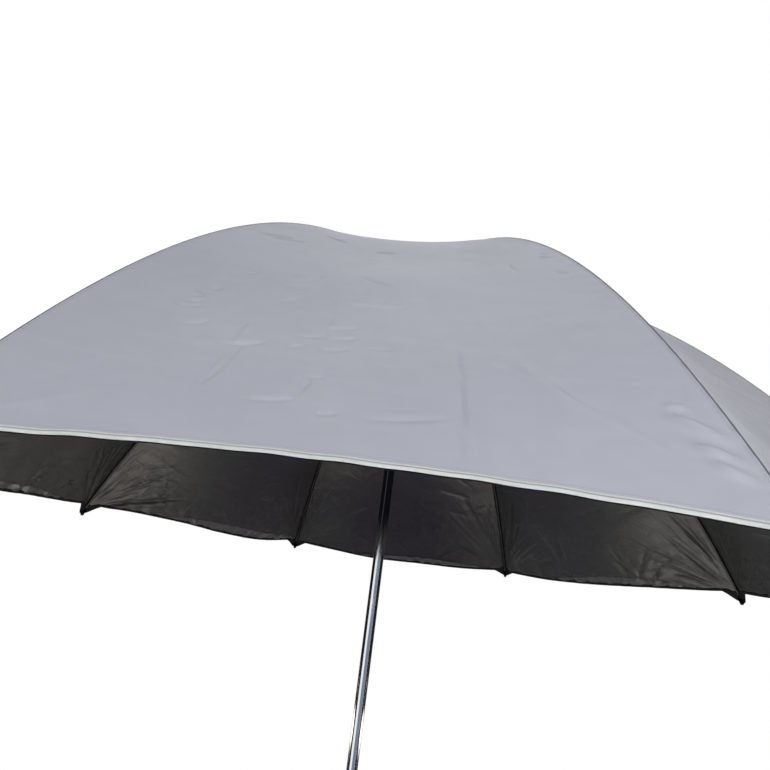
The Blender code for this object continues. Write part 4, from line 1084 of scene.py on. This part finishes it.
def crown_patch():
    """The round of cloth under the finial, which stays with the pole's head."""
    start = -(HINGE_RADIUS - CLOTH_HOLE_RADIUS) / math.cos(START_SLOPE)
    arcs = np.linspace(start, PATCH_END, PATCH_ROWS)
    u, arc = np.meshgrid(np.linspace(0, 1, PATCH_STEPS + 1)[:-1], arcs)
    grids = [turned(smooth_panel(u, arc), panel_azimuth(number)) for number in range(1, RIB_COUNT + 1)]
    points = np.concatenate([*grids, grids[0][:, :1]], 1)
    lift = PATCH_STEP * eased((arcs + 0.008) / 0.010)[:, None, None] + PATCH_LIFT
    wrapped = np.concatenate([points[:, -2:-1], points, points[:, 1:2]], 1)
    normals = grid_normals(wrapped)[:, 1:-1]
    points = points + lift * normals
    radius = np.hypot(points[..., 0], points[..., 1])
    turn = np.linspace(0, 2 * math.pi * PATCH_CHART_RADIUS, points.shape[1])[None, :] + 0 * radius
    from_edge = radius.max(0, keepdims=True) - radius + PATCH_STITCH_SHIFT
    part = plain_part(points, normals, 0.0, PATCH_THICKNESS, turn, radius, from_edge)
    piece = shell("crown_patch", part, (SILVER, LINING))
    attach(piece, "head")


make_canopy()
crown_patch()

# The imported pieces' finishes: each piece takes the first that lists a start of its name

FINISHES = (
    (CHROME, "chromed_steel", ("lower_pole", "middle_pole", "upper_pole")),
    (
        BRIGHT,
        "bright_steel",
        ("tilt_bolt", "tilt_nut", "fork_rivet", "head_rivet", "crown_ring", "runner_ring", "runner_catch"),
    ),
    (PAINTED, "black_steel", ("rib_inner_", "rib_outer_", "stretcher_")),
    (PLASTIC, "black_plastic", ("",)),
)
SHARP_ANGLE = math.radians(38)
EDGE_RADII = {"black_plastic": 0.0006, "bright_steel": 0.0003}


def shading_tree():
    """Geometry nodes that shade a solid smooth, apart from its sharp edges."""
    tree = bpy.data.node_groups.new("solid shading", "GeometryNodeTree")
    for way in ("INPUT", "OUTPUT"):
        tree.interface.new_socket(name="Geometry", in_out=way, socket_type="NodeSocketGeometry")
    angle = tree.nodes.new("GeometryNodeInputMeshEdgeAngle").outputs["Unsigned Angle"]
    steep = tree.nodes.new("FunctionNodeCompare")
    steep.operation = "GREATER_THAN"
    steep.inputs["B"].default_value = SHARP_ANGLE
    tree.links.new(angle, steep.inputs["A"])
    plain = tree.nodes.new("GeometryNodeRemoveAttribute")
    plain.inputs["Name"].default_value = "custom_normal"
    chain = [plain]
    for domain, smooth in (("FACE", True), ("EDGE", True), ("EDGE", False)):
        step = tree.nodes.new("GeometryNodeSetShadeSmooth")
        step.domain = domain
        step.inputs["Shade Smooth"].default_value = smooth
        chain.append(step)
    tree.links.new(steep.outputs["Result"], chain[-1].inputs["Selection"])
    ends = [tree.nodes.new("NodeGroupInput"), *chain, tree.nodes.new("NodeGroupOutput")]
    for first, second in zip(ends, ends[1:]):
        tree.links.new(first.outputs["Geometry"], second.inputs["Geometry"])
    return tree


SHADING = shading_tree()


def finish_solid(node, slot):
    """Joins a solid's faces, shades it smooth and rounds its edges a little."""
    joined = node.modifiers.new("joined", "WELD")
    joined.merge_threshold = 1e-6
    node.modifiers.new("shading", "NODES").node_group = SHADING
    if slot in EDGE_RADII:
        rounded = node.modifiers.new("rounded", "BEVEL")
        rounded.width = EDGE_RADII[slot]
        rounded.segments = 2
        rounded.limit_method = "ANGLE"
        rounded.angle_limit = SHARP_ANGLE
        rounded.harden_normals = True


for name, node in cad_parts.items():
    if not name.startswith("canopy_panel_"):
        finish, slot, _ = next(row for row in FINISHES if name.startswith(row[2]))
        node.material_slots[0].material = finish
        finish_solid(node, slot)


# Studio

FLOOR_RADIUS = 60.0
FLOOR_SIDES = 96
WORLD_STRENGTH = 0.11
WHITE = (1.0, 1.0, 1.0)


def from_middle(tree, place):
    return add(tree, "VectorMath", {0: place}, operation="LENGTH").outputs["Value"]


def light(tree, colour, strength=1.0, kind="Emission"):
    return add(tree, kind, {"Color": opaque(colour), "Strength": strength}).outputs[0]


def either(tree, share, first, second):
    """A mix of two shaders."""
    return add(tree, "MixShader", {0: share, 1: first, 2: second}).outputs[0]


def surface(tree, shader, output="Material Output"):
    tree.links.new(shader, tree.nodes[output].inputs["Surface"])


def make_floor():
    """A pale floor that runs out to white, at the spike's point."""
    made, tree, shader = new_material("studio floor")
    place = solid_place(tree)
    speckle = stepped(tree, noise(tree, place, 3.0, 4.0), 0.2, 0.8)
    colour = mixed(tree, speckle, (0.88, 0.88, 0.88), (0.92, 0.92, 0.92))
    feed(tree, shader, Base_Color=colour, Roughness=0.9, Specular_IOR_Level=0.0)
    out = from_middle(tree, place)
    paths = add(tree, "LightPath").outputs
    far = product(tree, stepped(tree, out, 1.6, 4.2), paths["Is Glossy Ray"])
    near = product(tree, stepped(tree, out, 0.8, 3.6, 0.5, 1.0), paths["Is Camera Ray"])
    share = maths(tree, "MAXIMUM", far, near)
    surface(tree, either(tree, share, shader.outputs[0], light(tree, WHITE)))
    turns = [2 * math.pi * side / FLOOR_SIDES for side in range(FLOOR_SIDES)]
    corners = [(FLOOR_RADIUS * math.cos(turn), FLOOR_RADIUS * math.sin(turn), 0.0) for turn in turns]
    mesh = bpy.data.meshes.new("floor")
    mesh.from_pydata(corners, [], [tuple(range(FLOOR_SIDES))])
    mesh.materials.append(made)
    floor = linked("floor", mesh)
    floor.location.z = -SPIKE_LENGTH


def make_world():
    """Even daylight, which mirrors and the camera see as plain white."""
    world = bpy.data.worlds.new("daylight")
    world.use_nodes = True
    tree = world.node_tree
    paths = add(tree, "LightPath").outputs
    seen = maths(tree, "MAXIMUM", paths["Is Camera Ray"], paths["Is Glossy Ray"])
    seen = maths(tree, "MAXIMUM", seen, paths["Is Transmission Ray"])
    even = light(tree, (0.95, 0.97, 1.0), WORLD_STRENGTH, "Background")
    white = light(tree, WHITE, kind="Background")
    surface(tree, either(tree, seen, even, white), "World Output")
    bpy.context.scene.world = world


# Each lamp's place, aim, size, power, colour, and whether glossy things mirror it
LAMPS = (
    ("key", (0.5, -2.9, 1.95), (0.0, -0.6, 1.7), 1.0, 41.0, WHITE, True),
    ("fill", (-3.6, -2.4, 2.7), (0.0, 0.0, 1.75), 2.0, 16.0, (0.95, 0.98, 1.0), True),
    ("top", (0.3, 1.3, 4.5), (0.0, 0.1, 2.0), 2.2, 26.0, WHITE, False),
    ("shine", (0.3, 1.3, 4.5), (0.0, 0.1, 2.0), 2.2, 14.0, WHITE, True),
    ("back", (-0.6, 4.6, 3.4), (0.0, 0.0, 1.8), 2.6, 80.0, WHITE, True),
    ("low_right", (2.4, 0.3, 0.5), (-0.7, 0.5, 1.7), 0.9, 17.0, (1.0, 0.91, 0.81), True),
    ("low_left", (-2.4, 0.3, 0.5), (0.75, 0.45, 1.7), 0.9, 14.0, (1.0, 0.98, 0.95), True),
)


def make_lamp(name, place, aim, size, power, colour, mirrored):
    data = bpy.data.lights.new(name, "AREA")
    data.shape = "DISK"
    data.size = size
    data.energy = power
    data.color = colour
    made = linked(name, data)
    made.visible_camera = False
    made.visible_glossy = mirrored
    made.location = place
    made.rotation_euler = (Vector(aim) - Vector(place)).to_track_quat("-Z", "Y").to_euler()


CARD_STEPS = 32
# Each upright card's radius, bottom, top, two ends in degrees round the pole from +X, and its tone
CARDS = (
    ("dark_card_right", 1.5, -SPIKE_LENGTH, 2.0, -33, 50, (0.012, 0.013, 0.015)),
    ("low_card_behind", 1.5, -SPIKE_LENGTH, 0.75, 50, 84, (0.012, 0.013, 0.015)),
    ("high_card_behind", 1.5, 0.75, 2.0, 50, 84, (0.13, 0.13, 0.13)),
    ("left_card_behind", 1.5, -SPIKE_LENGTH, 2.0, 99, 132, (0.20, 0.19, 0.18)),
    ("dark_card_left", 1.5, -SPIKE_LENGTH, 2.0, 132, 218, (0.012, 0.012, 0.012)),
    ("grey_card", 1.5, -SPIKE_LENGTH, 2.0, -98, -35, (0.20, 0.225, 0.285)),
    ("dark_sleeve", 0.05, 1.50, 1.75, -180, 180, (0.004, 0.004, 0.005)),
    ("faint_strip", 0.047, 1.50, 1.75, -119, -101, (0.035, 0.035, 0.040)),
)
SLEEVE_FADE = (1.50, 1.60)  # up the sleeve and its strip
# The cards that stand on the floor reach in over it to this radius, for the tubes near it alone
CARD_FOOT = 0.06
CARD_LIFT = 0.002
FOOT_FADE = (1.60, 1.80)  # along a mirrored ray
GLOW_FADE = (0.25, 1.0)  # from a level card's middle, in its half sizes
# Each level card's middle, its half width and half depth, and its tone
GLOWS = (
    ("glow_left", (-0.60, 0.20, 1.0), (0.36, 0.36), (2.6, 2.4, 2.1)),
    ("glow_right", (0.53, 0.25, 1.0), (0.36, 0.36), (2.6, 2.5, 2.3)),
    ("shade_middle", (-0.04, 0.70, 1.38), (0.74, 0.34), (0.14, 0.12, 0.20)),
)


def make_card(name, corners, faces, tone, fade=None, measured="middle"):
    """A card that only mirrors show, to shape what the shiny cloth and tubes reflect."""
    made, tree, _ = new_material(name)
    place = solid_place(tree)
    shine = light(tree, mixed(tree, noise(tree, place, 2.0), tone, tuple(1.15 * part for part in tone)))
    if fade is not None:
        if measured == "height":
            gone = stepped(tree, add(tree, "SeparateXYZ", {0: place}).outputs[2], *fade, 1.0, 0.0)
        elif measured == "ray":
            gone = stepped(tree, add(tree, "LightPath").outputs["Ray Length"], *fade)
        else:
            gone = stepped(tree, from_middle(tree, place), *fade)
        shine = either(tree, gone, shine, add(tree, "BsdfTransparent").outputs[0])
    surface(tree, shine)
    mesh = bpy.data.meshes.new(name)
    mesh.from_pydata(corners, [], faces)
    mesh.materials.append(made)
    card = linked(name, mesh)
    card.visible_camera = card.visible_diffuse = False
    card.visible_shadow = card.visible_transmission = False
    return card


def round_card(name, rings, first, last, tone, fade, measured):
    """A card between two rings, each a radius and a height, from one turn in degrees to another."""
    turns = np.radians(np.linspace(first, last, CARD_STEPS + 1))
    corners = [(radius * math.cos(turn), radius * math.sin(turn), z) for radius, z in rings for turn in turns]
    faces = [(i, i + 1, i + CARD_STEPS + 2, i + CARD_STEPS + 1) for i in range(CARD_STEPS)]
    make_card(name, corners, faces, tone, fade, measured)


def make_cards():
    for name, radius, low, high, first, last, tone in CARDS:
        fade = SLEEVE_FADE if radius < 0.1 else None
        round_card(name, ((radius, low), (radius, high)), first, last, tone, fade, "height")
        if low == -SPIKE_LENGTH:
            rings = ((CARD_FOOT, low + CARD_LIFT), (radius, low + CARD_LIFT))
            round_card(f"{name}_foot", rings, first, last, tone, FOOT_FADE, "ray")
    for name, middle, half_size, tone in GLOWS:
        corners = [(-1, -1, 0), (1, -1, 0), (1, 1, 0), (-1, 1, 0)]
        card = make_card(name, corners, [(0, 1, 2, 3)], tone, GLOW_FADE)
        card.location = middle
        card.scale = (*half_size, 1.0)


make_floor()
make_world()
make_cards()
for row in LAMPS:
    make_lamp(*row)


# Camera

CAMERA_PLACE = Vector((0.1129, -1.47965, 1.45942))
CAMERA_YAW, CAMERA_PITCH, CAMERA_ROLL = -0.13572, 0.22690, 0.13838
FOCAL_PIXELS = 632.5461
FRAME_PIXELS = 770
SHIFT_PIXELS = (26.637, 37.777)
SENSOR_WIDTH = 36.0


def make_camera():
    level = Vector((math.cos(CAMERA_YAW), -math.sin(CAMERA_YAW), 0.0))
    onward = Vector((math.sin(CAMERA_YAW), math.cos(CAMERA_YAW), 0.0))
    ahead = math.cos(CAMERA_PITCH) * onward + math.sin(CAMERA_PITCH) * Vector((0.0, 0.0, 1.0))
    upright = level.cross(ahead)
    right = math.cos(CAMERA_ROLL) * level + math.sin(CAMERA_ROLL) * upright
    up = -math.sin(CAMERA_ROLL) * level + math.cos(CAMERA_ROLL) * upright
    data = bpy.data.cameras.new("camera")
    data.sensor_width = SENSOR_WIDTH
    data.lens = SENSOR_WIDTH * FOCAL_PIXELS / FRAME_PIXELS
    data.shift_x = SHIFT_PIXELS[0] / FRAME_PIXELS
    data.shift_y = SHIFT_PIXELS[1] / FRAME_PIXELS
    data.clip_start = 0.05
    data.clip_end = 200.0
    camera = linked("camera", data)
    camera.matrix_world = Matrix.Translation(CAMERA_PLACE) @ Matrix((right, up, -ahead)).transposed().to_4x4()
    bpy.context.scene.camera = camera


make_camera()
bpy.context.scene.view_settings.view_transform = "Standard"
